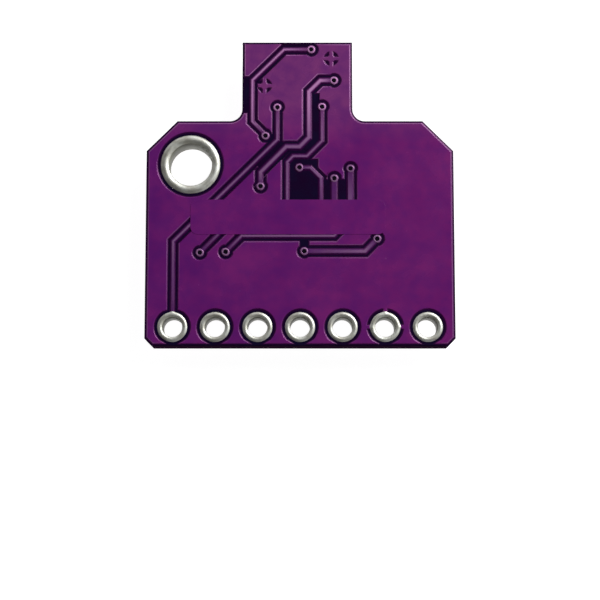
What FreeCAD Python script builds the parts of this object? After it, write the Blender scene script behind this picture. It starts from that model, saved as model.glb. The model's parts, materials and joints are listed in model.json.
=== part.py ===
import FreeCAD, Part
import math
import os
import re

import Sketcher

# Pressure sensor module: a T-shaped purple circuit board with one screw hole in
# its left shoulder and a row of seven header holes along its lower edge. It lies
# with its component side down, resting on its three tallest parts. The origin is
# the middle of the board's outline, at the height of the surface under it, with
# +X along the header row, +Y towards the tab and +Z up out of the rear face.

# Driving sizes in millimetres, and what each one is
DRIVING_SIZES = [
    ("board_wide", 18.55, "board from side to side"),
    ("board_tall", 18.62, "board from lower edge to the top of its tab"),
    ("board_thick", 1.6, "fibreglass laminate"),
    ("tab_wide", 6.68, "sensor tab"),
    ("tab_tall", 4.92, "tab above the shoulders"),
    ("tab_shift", -0.16, "tab's middle from the board's middle"),
    ("shoulder_cut", 1.85, "45 degree cut at each upper corner"),
    ("foot_cut", 0.45, "45 degree cut at each lower corner"),
    ("tab_fillet", 0.75, "router radius where the tab meets the shoulders"),
    ("foil_thick", 0.035, "copper foil on either face"),
    ("copper_gap", 0.2, "etched gap between one copper net and the next"),
    ("edge_gap", 0.12, "bare strip between the copper and the board's edge"),
    ("spoke_wide", 0.24, "thermal spoke from a pad to the ground copper"),
    ("etch_error", 0.03, "how far an etched round may be from a true circle"),
    ("via_land", 0.5, "copper land round a via"),
    ("via_drill", 0.25, "via hole"),
    ("fine_track", 0.25, "signal track"),
    ("broad_track", 0.32, "broader rear track"),
    ("wide_track", 0.38, "broadest rear track"),
    ("feed_track", 0.5, "supply input track"),
    ("pin_pitch", 2.54, "header hole spacing"),
    ("pin_inset", 1.13, "header row above the lower edge"),
    ("pin_bore", 1.2, "finished header hole"),
    ("pin_pad", 1.8, "solder-levelled pad round a header hole"),
    ("screw_bore", 2.6, "finished screw hole, for an M2.5 screw"),
    ("screw_pad", 3.6, "solder-levelled pad round the screw hole"),
    ("screw_from_side", 2.66, "screw hole from the board's left edge"),
    ("screw_from_top", 2.69, "screw hole below the shoulders"),
    ("plating_wall", 0.05, "copper and solder lining of a hole"),
    ("crown_rise", 0.11, "top of a pad's solder collar above the laminate"),
    ("lip_wide", 0.17, "collar's crown from the wall of the hole"),
    ("lip_rise", 0.02, "height above the laminate at which the lip leaves the wall"),
    ("field_wide", 11.72, "bare overprinted field across the rear face"),
    ("field_tall", 2.12, "height of that field"),
    ("field_shift", -0.73, "field's middle from the board's middle"),
    ("field_clearance", 0.36, "top of the field below the screw hole's pad"),
    ("field_round", 0.45, "corner radius of the field"),
    ("ink_thick", 0.02, "thickness of printed ink"),
    ("ink_line", 0.14, "width of a printed outline"),
    ("sensor_wide", 2.5, "square sensor package"),
    ("sensor_tall", 0.93, "sensor package, lid and base"),
    ("sensor_base", 0.26, "laminate base of the sensor"),
    ("sensor_from_top", 2.15, "sensor's middle below the tab's top edge"),
    ("sensor_joint", 0.065, "solder between sensor and board"),
    ("lid_margin", 0.1, "base showing round the lid"),
    ("lid_wall", 0.1, "sheet of the sensor's lid"),
    ("lid_round", 0.15, "corner radius of the lid"),
    ("vent_bore", 0.4, "air hole in the lid"),
    ("vent_offset", 0.5, "air hole from the sensor's middle, both ways"),
    ("readout_wide", 1.5, "square readout die"),
    ("readout_tall", 0.15, "readout die"),
    ("sensing_wide", 1.0, "square sensing die, on the readout die"),
    ("sensing_tall", 0.3, "sensing die"),
    ("port_pitch", 0.5, "spacing of the sensor's contacts"),
    ("port_long", 0.4, "contact, outwards"),
    ("port_wide", 0.28, "contact, along the side"),
    ("port_ring", 1.0, "row of contacts from the sensor's middle"),
    ("outline_long", 2.9, "three-lead package, along its leads' row"),
    ("outline_wide", 1.3, "three-lead package's moulded body"),
    ("outline_tall", 0.98, "three-lead package, feet to top"),
    ("outline_span", 2.4, "three-lead package, foot to foot"),
    ("outline_lift", 0.08, "moulded body above the feet"),
    ("outline_draft", 0.12, "bevel on the moulded body's edges"),
    ("lead_wide", 0.4, "lead"),
    ("lead_thick", 0.12, "lead"),
    ("lead_pitch", 0.95, "outer lead from the package's middle"),
    ("foot_long", 0.42, "flat foot of a lead"),
    ("foot_joint", 0.015, "solder under a foot or a chip's end"),
    ("lead_pad_wide", 0.8, "pad under a foot, along the row"),
    ("lead_pad_long", 0.9, "pad under a foot, outwards"),
    ("lead_pad_ring", 1.05, "pad's middle from the package's middle"),
    ("chip_long", 1.6, "chip resistor or capacitor"),
    ("chip_wide", 0.8, "chip resistor or capacitor"),
    ("chip_cap", 0.32, "metal end of a chip"),
    ("chip_skin", 0.025, "end metal's thickness over the body"),
    ("capacitor_tall", 0.8, "capacitor"),
    ("resistor_tall", 0.45, "resistor"),
    ("glaze_thick", 0.02, "resistor's dark glaze"),
    ("chip_pad", 0.8, "square pad under a chip's end"),
    ("chip_pad_ring", 0.75, "pad's middle from the chip's middle"),
    ("lane_wide", 0.6, "broad bare lane beside the rear tracks"),
    ("lane_narrow", 0.4, "narrow bare lane between two rear tracks"),
    ("feed_turn", 0.72, "cut corner of the supply input track"),
    ("protector_rise", 2.6, "line protector's middle above the header row"),
    ("resistor_rise", 2.7, "pull-up resistors' middles above the header row"),
    ("fillet_rise", 0.3, "solder fillet up a chip's end"),
    ("smallest_island", 0.4, "copper area in square millimetres left by etching"),
]

HEADER_PINS = 7
GROUND_PIN = 5

# The layout's grid: columns to one header pitch, and rows from the header row up to
# the shoulders, so that vias, tracks and parts keep their order on another board
GRID_COLUMNS = 2.54
GRID_ROWS = 12.3

# Sizes that follow from the ones above: the laminate's two faces, and the grid
WORKED_OUT = [
    ("front_z", "sensor_tall + sensor_joint + foil_thick"),
    ("rear_z", "front_z + board_thick"),
    ("column_step", f"pin_pitch / {GRID_COLUMNS}"),
    ("row_step", f"(board_tall - tab_tall - pin_inset) / {GRID_ROWS}"),
]

document = FreeCAD.newDocument("pressure_sensor_module")
sheet = document.addObject("Spreadsheet::Sheet", "Sizes")
nodes = []


def fill_sheet():
    row = 0
    for name, size, note in DRIVING_SIZES:
        row += 1
        sheet.set(f"A{row}", note)
        sheet.set(f"B{row}", str(size))
        sheet.setAlias(f"B{row}", name)
    for name, formula in WORKED_OUT:
        row += 1
        sheet.set(f"B{row}", "=" + formula)
        sheet.setAlias(f"B{row}", name)
    document.recompute()


def number(text):
    """The value of an expression in the sheet's names."""
    return float(sheet.evalExpression(text))


def tied(text):
    """The same expression as another object of the document writes it."""
    return re.sub(r"[a-z_]+", lambda word: "Sizes." + word.group(0), text)


def bind(thing, prop, text):
    if re.search("[a-z]", text):
        thing.setExpression(prop, tied(text))
    else:
        setattr(thing, prop, float(text))


def named(label, thing):
    """Make this object a piece of the module, under the name of its file."""
    thing.Label = label
    nodes.append(thing)
    return thing


def vector(point, height=0.0):
    return FreeCAD.Vector(point[0], point[1], height)


# Places on the board, as points in millimetres


def from_sensor(x, y):
    """A point on the tab, which moves with the sensor's middle."""
    return (
        number("tab_shift") + x,
        number("board_tall / 2 - sensor_from_top") + y,
    )


def pin_at(index, up=0.0):
    """A point over a header hole's middle, counted from the left."""
    middle = (HEADER_PINS - 1) / 2
    return (
        (index - middle) * number("pin_pitch"),
        number("pin_inset - board_tall / 2") + up,
    )


def spot(x, y):
    """A point of the layout, in grid steps from the middle header hole."""
    foot = pin_at((HEADER_PINS - 1) / 2)
    return (foot[0] + x * number("column_step"), foot[1] + y * number("row_step"))


def screw_at():
    return (
        number("screw_from_side - board_wide / 2"),
        number("board_tall / 2 - tab_tall - screw_from_top"),
    )


# Sketches and solids whose every corner is tied to the sheet


def origin_part(body, role):
    return next(f for f in body.Origin.OriginFeatures if f.Role == role)


def place(body, corner):
    for axis, text in zip("xyz", corner):
        if re.search("[a-z]", text):
            body.setExpression("Placement.Base." + axis, tied(text))


def profile(body, name, plane, corners):
    """A closed sketch of straight lines through corners given as expressions."""
    sketch = body.newObject("Sketcher::SketchObject", name)
    sketch.AttachmentSupport = [(origin_part(body, plane), "")]
    sketch.MapMode = "FlatFace"
    points = [FreeCAD.Vector(number(x), number(y), 0) for x, y in corners]
    count = len(points)
    for i in range(count):
        line = Part.LineSegment(points[i], points[(i + 1) % count])
        sketch.addGeometry(line, False)
    for i in range(count):
        link = Sketcher.Constraint("Coincident", i, 2, (i + 1) % count, 1)
        sketch.addConstraint(link)
    for i, corner in enumerate(corners):
        for kind, text in zip(("DistanceX", "DistanceY"), corner):
            size = Sketcher.Constraint(kind, -1, 1, i, 1, number(text))
            index = sketch.addConstraint(size)
            bind_size(sketch, index, text)
    return sketch


def bind_size(sketch, index, text):
    if re.search("[a-z]", text):
        sketch.setExpression(f"Constraints[{index}]", tied(text))


def circle_sketch(body, name, x, y, radius):
    sketch = body.newObject("Sketcher::SketchObject", name)
    sketch.AttachmentSupport = [(origin_part(body, "XY_Plane"), "")]
    sketch.MapMode = "FlatFace"
    centre = FreeCAD.Vector(number(x), number(y), 0)
    upright = FreeCAD.Vector(0, 0, 1)
    sketch.addGeometry(Part.Circle(centre, upright, number(radius)), False)
    sizes = [
        (Sketcher.Constraint("DistanceX", -1, 1, 0, 3, centre.x), x),
        (Sketcher.Constraint("DistanceY", -1, 1, 0, 3, centre.y), y),
        (Sketcher.Constraint("Radius", 0, number(radius)), radius),
    ]
    for size, text in sizes:
        bind_size(sketch, sketch.addConstraint(size), text)
    return sketch


def rectangle(x_low, x_high, y_low, y_high):
    return [(x_low, y_low), (x_high, y_low), (x_high, y_high), (x_low, y_high)]


def pad(body, name, sketch, length):
    feature = body.newObject("PartDesign::Pad", name)
    feature.Profile = sketch
    bind(feature, "Length", length)
    document.recompute()
    return feature


def drill(body, name, sketch):
    """A hole right through, cut upwards from the sketch at the lower face."""
    feature = body.newObject("PartDesign::Pocket", name)
    feature.Profile = sketch
    feature.Type = "ThroughAll"
    feature.Reversed = True
    document.recompute()
    return feature


def upright_edges(feature, points):
    """Names of the vertical edges that stand on the given points."""
    found = []
    for i, edge in enumerate(feature.Shape.Edges):
        low, high = edge.Vertexes[0].Point, edge.Vertexes[-1].Point
        level = math.hypot(low.x - high.x, low.y - high.y)
        for x, y in points:
            if level < 1e-6 and math.hypot(low.x - x, low.y - y) < 1e-6:
                found.append(f"Edge{i + 1}")
    return found


def dress(body, kind, name, feature, edges, prop, size):
    """A fillet or chamfer on some edges of the feature before it."""
    finish = body.newObject("PartDesign::" + kind, name)
    finish.Base = (feature, edges)
    bind(finish, prop, size)
    document.recompute()
    return finish


def new_body(name):
    return document.addObject("PartDesign::Body", name)


def cuboid(name, low, size):
    """A block whose low corner and sizes are expressions."""
    body = new_body(name)
    block = body.newObject("PartDesign::AdditiveBox", name + "_block")
    for prop, text in zip(("Length", "Width", "Height"), size):
        bind(block, prop, text)
    place(body, low)
    return body


def group(label, members):
    """Several like solids that share one node."""
    compound = document.addObject("Part::Compound", label)
    compound.Links = members
    return named(label, compound)


def set_piece(label, shape):
    """A piece whose outline is drawn by the functions below."""
    feature = document.addObject("Part::Feature", label)
    feature.Shape = shape
    return named(label, feature)


# The fibreglass board


def board_blank():
    """The T-shaped blank with its screw hole and its row of header holes."""
    body = new_body("board_blank")
    half = "board_wide / 2"
    top = "board_tall / 2"
    shoulder = "board_tall / 2 - tab_tall"
    left = "tab_shift - tab_wide / 2"
    right = "tab_shift + tab_wide / 2"
    tee = [
        ("-" + half, "-" + top),
        (half, "-" + top),
        (half, shoulder),
        (right, shoulder),
        (right, top),
        (left, top),
        (left, shoulder),
        ("-" + half, shoulder),
    ]
    blank = pad(body, "tee", profile(body, "tee_lines", "XY_Plane", tee), "board_thick")
    corner = [(number(x), number(y)) for x, y in tee]
    upper = upright_edges(blank, [corner[2], corner[7]])
    cut = dress(body, "Chamfer", "upper_cuts", blank, upper, "Size", "shoulder_cut")
    lower = upright_edges(cut, corner[:2])
    cut = dress(body, "Chamfer", "lower_cuts", cut, lower, "Size", "foot_cut")
    inner = upright_edges(cut, [corner[3], corner[6]])
    cut = dress(body, "Fillet", "tab_corners", cut, inner, "Radius", "tab_fillet")
    screw = circle_sketch(
        body,
        "screw_circle",
        "screw_from_side - board_wide / 2",
        "board_tall / 2 - tab_tall - screw_from_top",
        "screw_bore / 2 + plating_wall",
    )
    drill(body, "screw_hole", screw)
    first = circle_sketch(
        body,
        "pin_circle",
        f"-{(HEADER_PINS - 1) / 2} * pin_pitch",
        "pin_inset - board_tall / 2",
        "pin_bore / 2 + plating_wall",
    )
    hole = drill(body, "pin_hole", first)
    row = body.newObject("PartDesign::LinearPattern", "pin_holes")
    row.Originals = [hole]
    row.Direction = (origin_part(body, "X_Axis"), [""])
    row.Occurrences = HEADER_PINS
    bind(row, "Length", f"{HEADER_PINS - 1} * pin_pitch")
    body.Tip = row
    place(body, ("0", "0", "front_z"))
    document.recompute()
    return body


def outline_face(blank, inset):
    """The blank's outline, moved inwards, as a face at height zero."""
    top = max(blank.Shape.Faces, key=lambda face: face.CenterOfMass.z)
    rim = Part.Face(top.OuterWire)
    rim.translate(FreeCAD.Vector(0, 0, -top.CenterOfMass.z))
    return rim.makeOffset2D(-inset)


# Flat copper artwork: faces at height zero, later given the foil's thickness


def disc(centre, radius):
    circle = Part.makeCircle(radius, vector(centre))
    return Part.Face(Part.Wire(circle))


def land(centre, radius):
    """An etched disc: as many sides as keep it round to the etching's accuracy."""
    turn = math.acos(1 - number("etch_error") / radius)
    sides = 4 * math.ceil(math.pi / turn / 4)
    corners = []
    for i in range(sides + 1):
        angle = 2 * math.pi * (i + 0.5) / sides
        x = centre[0] + radius * math.cos(angle)
        y = centre[1] + radius * math.sin(angle)
        corners.append(FreeCAD.Vector(x, y, 0))
    return Part.Face(Part.makePolygon(corners))


def tile(centre, wide, tall):
    """An upright rectangle about its middle."""
    x, y = centre[0] - wide / 2, centre[1] - tall / 2
    return Part.makePlane(wide, tall, FreeCAD.Vector(x, y, 0))


def strip(route, half_width):
    """A track of even width along a route, mitred where it turns."""
    points = [vector(p) for p in route]
    runs = [(b - a).normalize() for a, b in zip(points, points[1:])]
    sides = [FreeCAD.Vector(-run.y, run.x, 0) for run in runs]
    offsets = [sides[0]]
    for before, after in zip(sides, sides[1:]):
        both = before + after
        offsets.append(both * (2 / both.dot(both)))
    offsets.append(sides[-1])
    left = [p + o * half_width for p, o in zip(points, offsets)]
    right = [p - o * half_width for p, o in zip(points, offsets)]
    loop = right + left[::-1]
    return Part.Face(Part.makePolygon(loop + loop[:1]))


def joined(faces):
    if len(faces) == 1:
        return faces[0]
    fused = faces[0].multiFuse(faces[1:])
    return Part.makeShell(fused.Faces).removeSplitter()


def foil(face, low, high):
    """A face's islands as flat solids between two heights."""
    slab = face.extrude(FreeCAD.Vector(0, 0, high - low))
    slab.translate(FreeCAD.Vector(0, 0, low))
    return Part.makeCompound(slab.Solids)


class Net:
    """One copper net: tracks, via lands and pads, drawn with one gap round it."""

    def __init__(self, tracks, vias=(), pads=()):
        self.tracks = tracks
        self.vias = [via_at(name) for name in vias]
        self.pads = pads

    def face(self, grow=0.0):
        """The net's outline, grown all round by a gap."""
        faces = [strip(route, number(width) / 2 + grow) for width, route in self.tracks]
        reach = number("via_land") / 2 + grow
        faces += [land(via, reach) for via in self.vias]
        faces += [tile(c, w + 2 * grow, t + 2 * grow) for c, w, t in self.pads]
        return joined(faces)


# Vias on the tab, measured from the sensor's middle
TAB_VIAS = {
    "io_supply_top": (0.84, 1.69),
    "core_supply_top": (2.22, -0.25),
    "interrupt": (-1.22, -1.93),
    "select_top": (1.49, -1.89),
    "ground_right": (2.05, 1.12),
    "ground_left": (-2.01, -0.58),
}

# Vias on the wide part, as points of the layout's grid
FIELD_VIAS = {
    "io_supply_end": (-2.10, 11.40),
    "core_supply_end": (-2.39, 8.35),
    "data_top": (-0.04, 9.48),
    "data_end": (1.26, 7.05),
    "clock_top": (2.06, 8.83),
    "clock_end": (2.06, 6.45),
    "address_top": (3.04, 9.42),
    "address_end": (-4.47, 4.43),
    "select_end": (-6.01, 4.39),
    "link_left": (0.25, 4.47),
    "link_right": (4.63, 5.21),
}

GROUND_VIAS = ("ground_left", "ground_right")


def via_at(name):
    if name in TAB_VIAS:
        return from_sensor(*TAB_VIAS[name])
    return spot(*FIELD_VIAS[name])


def rear_nets():
    """The eight tracks of the rear face, as the photograph shows them."""
    first_pin = pin_at(0)
    alert = via_at("interrupt")
    alert_bend = (alert[0], spot(0, 11.16)[1])
    alert_knee = (first_pin[0], alert_bend[1] - (alert[0] - first_pin[0]))
    io_supply = [
        via_at("io_supply_top"),
        from_sensor(-0.81, 1.69),
        from_sensor(-2.74, -0.24),
        spot(-2.90, 12.26),
        spot(-2.27, 11.63),
        via_at("io_supply_end"),
    ]
    core_supply = [
        via_at("core_supply_top"),
        from_sensor(1.39, -0.25),
        from_sensor(0.69, -0.95),
        spot(0.53, 11.3),
        spot(-0.03, 10.74),
        spot(-0.84, 10.74),
        spot(-2.39, 9.19),
        via_at("core_supply_end"),
    ]
    select = [
        via_at("select_top"),
        spot(1.33, 11.09),
        spot(0.41, 10.17),
        spot(-0.42, 10.17),
        spot(-0.78, 9.81),
        spot(-0.78, 6.84),
        spot(-1.41, 6.21),
        spot(-4.19, 6.21),
        via_at("select_end"),
    ]
    data = [via_at("data_top"), spot(0.62, 9.48), spot(1.26, 8.84), via_at("data_end")]
    clock = [via_at("clock_top"), via_at("clock_end")]
    address = [via_at("address_top"), spot(3.04, 6.37)]
    address_tail = [spot(3.04, 6.39), spot(2.04, 5.39), spot(-3.51, 5.39), via_at("address_end")]
    link = [via_at("link_left"), spot(3.89, 4.47), via_at("link_right")]
    return {
        "io_supply": Net([("fine_track", io_supply)], ["io_supply_top", "io_supply_end"]),
        "core_supply": Net(
            [("broad_track", core_supply)], ["core_supply_top", "core_supply_end"]
        ),
        "interrupt": Net(
            [("fine_track", [alert, alert_bend, alert_knee, first_pin])], ["interrupt"]
        ),
        "select": Net([("fine_track", select)], ["select_top", "select_end"]),
        "data": Net([("fine_track", data)], ["data_top", "data_end"]),
        "clock": Net([("wide_track", clock)], ["clock_top", "clock_end"]),
        "address": Net(
            [("wide_track", address), ("fine_track", address_tail)],
            ["address_top", "address_end"],
        ),
        "link": Net([("broad_track", link)], ["link_left", "link_right"]),
    }


def window(low, high):
    """An upright rectangle between two corners."""
    middle = ((low[0] + high[0]) / 2, (low[1] + high[1]) / 2)
    return tile(middle, high[0] - low[0], high[1] - low[1])


def rear_windows():
    """Parts of the rear face that the ground copper leaves bare."""
    wide, narrow = number("lane_wide / 2"), number("lane_narrow / 2")
    return [
        strip([from_sensor(1.07, -1.04), spot(0.91, 11.15)], wide),
        strip([spot(-1.0, 11.05), spot(-2.55, 9.5)], narrow),
        strip([spot(0.25, 4.47), spot(0.25, 5.3)], wide),
        window(spot(-0.63, 6.9), spot(1.09, 10.0)),
        window(spot(1.07, 6.6), spot(3.17, 8.8)),
        window(from_sensor(-3.24, -2.29), from_sensor(-2.74, 0.01)),
    ]


# Places of the parts on the component side


def regulator_at():
    return spot(5.6, 6.8)


def protector_at():
    return (spot(-5.24, 0)[0], pin_at(1, number("protector_rise"))[1])


def capacitors():
    """Each capacitor's middle, and whether it stands along Y."""
    return {
        "sensor": (spot(-3.5, 9.8), True),
        "input": (spot(6.87, 3.6), False),
        "output": (spot(4.4, 2.6), False),
    }


def resistors():
    """Two pull-ups over their header holes, and the address resistor beside them."""
    rise = number("resistor_rise")
    address_x = spot(-1.3, 0)[0]
    return {
        "data": (pin_at(3, rise), True),
        "clock": (pin_at(4, rise), True),
        "address": ((address_x, pin_at(3, rise)[1]), True),
    }


def end_points(chip):
    """The middles of a chip's two pads, lower or left one first."""
    (x, y), upright = chip
    ring = number("chip_pad_ring")
    if upright:
        return (x, y - ring), (x, y + ring)
    return (x - ring, y), (x + ring, y)


def chip_pad(point):
    return (point, number("chip_pad"), number("chip_pad"))


def foot_points(centre, pair_side):
    """A three-lead package's feet: the pair from left to right, then the single."""
    pitch, ring = number("lead_pitch"), number("lead_pad_ring")
    x, y = centre
    return [
        (x - pitch, y + pair_side * ring),
        (x + pitch, y + pair_side * ring),
        (x, y - pair_side * ring),
    ]


def foot_pad(point):
    return (point, number("lead_pad_wide"), number("lead_pad_long"))


def port_places():
    """The sensor's twelve contacts by side and order, with their sizes."""
    ring, pitch = number("port_ring"), number("port_pitch")
    long, wide = number("port_long"), number("port_wide")
    places = {}
    for order in (-1, 0, 1):
        along = order * pitch
        places["left", order] = (from_sensor(-ring, along), long, wide)
        places["right", order] = (from_sensor(ring, along), long, wide)
        places["lower", order] = (from_sensor(along, -ring), wide, long)
        places["upper", order] = (from_sensor(along, ring), wide, long)
    return places


SPARE_PORTS = [("left", 1), ("upper", -1), ("upper", 0)]


UP, DOWN = 1, -1


def slope_to_column(start, end, rise):
    """Where a 45 degree run, up or down from a point, reaches another's column."""
    return (end[0], start[1] + rise * abs(end[0] - start[0]))


def slope_to_row(start, end):
    """Where a 45 degree run from a point, towards another, reaches its row."""
    side = math.copysign(1, end[0] - start[0])
    return (start[0] + side * abs(end[1] - start[1]), end[1])


def front_nets():
    """The tracks and pads of the component side."""
    port = port_places()
    res, cap = resistors(), capacitors()
    data_low, data_high = end_points(res["data"])
    clock_low, clock_high = end_points(res["clock"])
    address_low, address_high = end_points(res["address"])
    sensor_low, sensor_high = end_points(cap["sensor"])
    input_left, input_right = end_points(cap["input"])
    output_left, output_right = end_points(cap["output"])
    out_foot, ground_foot, in_foot = foot_points(regulator_at(), -1)
    select_foot, address_foot, protector_foot = foot_points(protector_at(), 1)
    core_end, link_left = via_at("core_supply_end"), via_at("link_left")
    link_right, io_end = via_at("link_right"), via_at("io_supply_end")
    data_top, data_end = via_at("data_top"), via_at("data_end")
    clock_top, clock_end = via_at("clock_top"), via_at("clock_end")
    select_pin, address_pin, data_pin, clock_pin = [pin_at(i) for i in range(1, 5)]
    input_pin = pin_at(6)

    supply = [
        [port["upper", 1][0], via_at("io_supply_top")],
        [port["right", 0][0], from_sensor(1.97, 0), via_at("core_supply_top")],
        [io_end, (io_end[0], spot(0, 8.61)[1]), core_end],
        [sensor_low, slope_to_row(sensor_low, core_end), core_end],
        [core_end, (core_end[0], spot(0, 6.05)[1]), (spot(-0.75, 0)[0], link_left[1])]
        + [link_left],
        [link_left, slope_to_column(link_left, data_high, DOWN), data_high],
        [out_foot, link_right, slope_to_column(output_left, link_right, UP)]
        + [output_left],
        [output_left, slope_to_row(output_left, clock_high), clock_high],
    ]
    data_port, clock_port = port["lower", -1][0], port["lower", 0][0]
    data_lane, clock_lane = spot(0.95, 0), spot(1.6, 0)
    data = [
        [data_port, slope_to_column(data_top, data_port, UP), data_top],
        [data_end, slope_to_column(data_end, data_lane, DOWN)]
        + [slope_to_column(data_low, data_lane, UP), data_low, data_pin],
    ]
    clock = [
        [clock_port, slope_to_column(clock_top, clock_port, UP), clock_top],
        [clock_end, slope_to_column(clock_end, clock_lane, DOWN)]
        + [slope_to_column(clock_low, clock_lane, UP), clock_low, clock_pin],
    ]
    select = [
        [port["lower", 1][0], from_sensor(0.5, -1.4), from_sensor(0.99, -1.89)]
        + [via_at("select_top")],
        [via_at("select_end"), select_foot, spot(-7.0, 2.84), spot(-7.0, 1.92)]
        + [select_pin],
    ]
    address_turn = (spot(-3.5, 0)[0], address_foot[1])
    address = [
        [port["right", -1][0], from_sensor(1.45, -0.5), from_sensor(2.35, -1.4)]
        + [spot(2.2, 11.7), spot(3.04, 10.86), via_at("address_top")],
        [via_at("address_end"), address_foot, address_turn]
        + [slope_to_column(address_turn, address_pin, DOWN), address_pin],
        [(address_pin[0], address_low[1]), address_low],
    ]
    alert = via_at("interrupt")
    interrupt = [[port["left", -1][0], from_sensor(-1.22, -0.72), alert]]
    turn = number("feed_turn")
    feed = [in_foot, (input_pin[0] - turn, in_foot[1])]
    feed += [(input_pin[0], in_foot[1] - turn), input_pin]
    ground = [
        [port["left", 0][0], from_sensor(-1.43, 0), via_at("ground_left")],
        [port["right", 1][0], from_sensor(1.43, 0.5), via_at("ground_right")],
    ]

    def fine(routes):
        return [("fine_track", route) for route in routes]

    chips = [chip_pad(p) for p in (sensor_low, data_high, output_left, clock_high)]
    nets = {
        "supply_track": Net(
            fine(supply),
            ["io_supply_top", "core_supply_top", "io_supply_end"]
            + ["core_supply_end", "link_left", "link_right"],
            chips + [foot_pad(out_foot), port["upper", 1], port["right", 0]],
        ),
        "data_track": Net(
            fine(data),
            ["data_top", "data_end"],
            [chip_pad(data_low), port["lower", -1]],
        ),
        "clock_track": Net(
            fine(clock),
            ["clock_top", "clock_end"],
            [chip_pad(clock_low), port["lower", 0]],
        ),
        "select_track": Net(
            fine(select),
            ["select_top", "select_end"],
            [foot_pad(select_foot), port["lower", 1]],
        ),
        "address_track": Net(
            fine(address),
            ["address_top", "address_end"],
            [foot_pad(address_foot), chip_pad(address_low), port["right", -1]],
        ),
        "interrupt_track": Net(fine(interrupt), ["interrupt"], [port["left", -1]]),
        "input_track": Net(
            [("feed_track", feed)], [], [foot_pad(in_foot), chip_pad(input_right)]
        ),
        "spare_contacts": Net([], [], [port[key] for key in SPARE_PORTS]),
    }
    ground_pads = [chip_pad(p) for p in (sensor_high, input_left, output_right)]
    ground_pads += [chip_pad(address_high), foot_pad(ground_foot)]
    ground_pads += [foot_pad(protector_foot), port["left", 0], port["right", 1]]
    return nets, Net(fine(ground), GROUND_VIAS, ground_pads)


def front_windows():
    """Parts of the component side, among its tracks, without ground copper."""
    return [
        window(from_sensor(-1.65, -4.75), from_sensor(1.45, 1.45)),
        window(spot(-2.1, 4.7), spot(3.7, 10.0)),
        window(spot(-0.75, -1.3), spot(3.35, 4.9)),
    ]


def hole_pads():
    """The discs that the plated collars cover."""
    discs = [disc(pin_at(i), number("pin_pad / 2")) for i in range(HEADER_PINS)]
    return discs + [disc(screw_at(), number("screw_pad / 2"))]


def hole_clearances():
    gap = number("copper_gap")
    rounds = [land(pin_at(i), number("pin_pad / 2") + gap) for i in range(HEADER_PINS)]
    return rounds + [land(screw_at(), number("screw_pad / 2") + gap)]


def cross(centre, reach):
    """Four thermal spokes as one plus sign."""
    wide = number("spoke_wide")
    return joined([tile(centre, 2 * reach, wide), tile(centre, wide, 2 * reach)])


def ground_face(blank, nets, windows, extra, spoked_vias):
    """The ground copper: all of the face that nothing else claims."""
    gap = number("copper_gap")
    around = number("via_land / 2 + copper_gap")
    outline = outline_face(blank, number("edge_gap"))
    copper = outline.cut([land(via_at(name), around) for name in spoked_vias])
    spokes = [cross(via_at(name), around) for name in spoked_vias]
    lands = [land(via_at(name), number("via_land / 2")) for name in spoked_vias]
    pin_reach = number("pin_pad / 2 + copper_gap")
    copper = copper.cut(hole_clearances() + windows)
    copper = joined([copper, *spokes, *lands, cross(pin_at(GROUND_PIN), pin_reach)])
    if extra:
        copper = joined([copper, extra.face()])
    copper = copper.common(outline)
    copper = copper.cut([net.face(gap) for net in nets.values()] + hole_pads())
    least = number("smallest_island")
    return Part.makeCompound([f for f in copper.Faces if f.Area > least])


def make_rear_copper(blank):
    low, high = number("rear_z"), number("rear_z + foil_thick")
    nets = rear_nets()
    ground = ground_face(blank, nets, rear_windows(), None, GROUND_VIAS)
    set_piece("rear_ground_copper", foil(ground, low, high))
    for name, net in nets.items():
        copper = net.face().cut(hole_pads())
        set_piece(f"rear_{name}_track", foil(copper, low, high))


def make_front_copper(blank):
    low, high = number("front_z - foil_thick"), number("front_z")
    nets, extra = front_nets()
    ground = ground_face(blank, nets, front_windows(), extra, ())
    set_piece("front_ground_copper", foil(ground, low, high))
    for name, net in nets.items():
        copper = net.face().cut(hole_pads())
        set_piece("front_" + name, foil(copper, low, high))


def make_board(blank):
    """The laminate with its via holes drilled, and the linings of those vias."""
    low, high = number("front_z"), number("rear_z")
    middles = [via_at(name) for name in [*TAB_VIAS, *FIELD_VIAS]]
    prisms = [foil(land(at, number("via_drill / 2")), low, high) for at in middles]
    drills = document.addObject("Part::Feature", "via_drills")
    drills.Shape = Part.makeCompound(prisms)
    board = document.addObject("Part::Cut", "board")
    board.Base = blank
    board.Tool = drills
    named("t_shaped_laminate", board)
    set_piece("via_barrels", Part.makeCompound(prisms))


# Solder-levelled linings of the screw hole and the header holes


def make_collar(label, bore, pad_across, x, y):
    """A plated hole: a lining whose ends swell into a solder-levelled collar."""
    body = new_body(label)
    wall = f"{bore} / 2"
    crown = f"{bore} / 2 + lip_wide"
    drilled = f"{bore} / 2 + plating_wall"
    rim = f"{pad_across} / 2"
    section = [
        (wall, "rear_z + lip_rise"),
        (wall, "front_z - crown_rise"),
        (rim, "front_z"),
        (drilled, "front_z"),
        (drilled, "rear_z"),
        (rim, "rear_z"),
        (crown, "rear_z + crown_rise"),
    ]
    lines = profile(body, label + "_section", "XZ_Plane", section)
    turned = body.newObject("PartDesign::Revolution", label + "_turned")
    turned.Profile = lines
    turned.ReferenceAxis = (lines, ["V_Axis"])
    turned.Angle = 360
    place(body, (x, y, "0"))
    document.recompute()
    named(label, body)


def make_collars():
    make_collar(
        "screw_hole_plating",
        "screw_bore",
        "screw_pad",
        "screw_from_side - board_wide / 2",
        "board_tall / 2 - tab_tall - screw_from_top",
    )
    middle = (HEADER_PINS - 1) / 2
    for i in range(HEADER_PINS):
        make_collar(
            f"header_hole_plating_{i + 1}",
            "pin_bore",
            "pin_pad",
            f"{i - middle} * pin_pitch",
            "pin_inset - board_tall / 2",
        )


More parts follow.
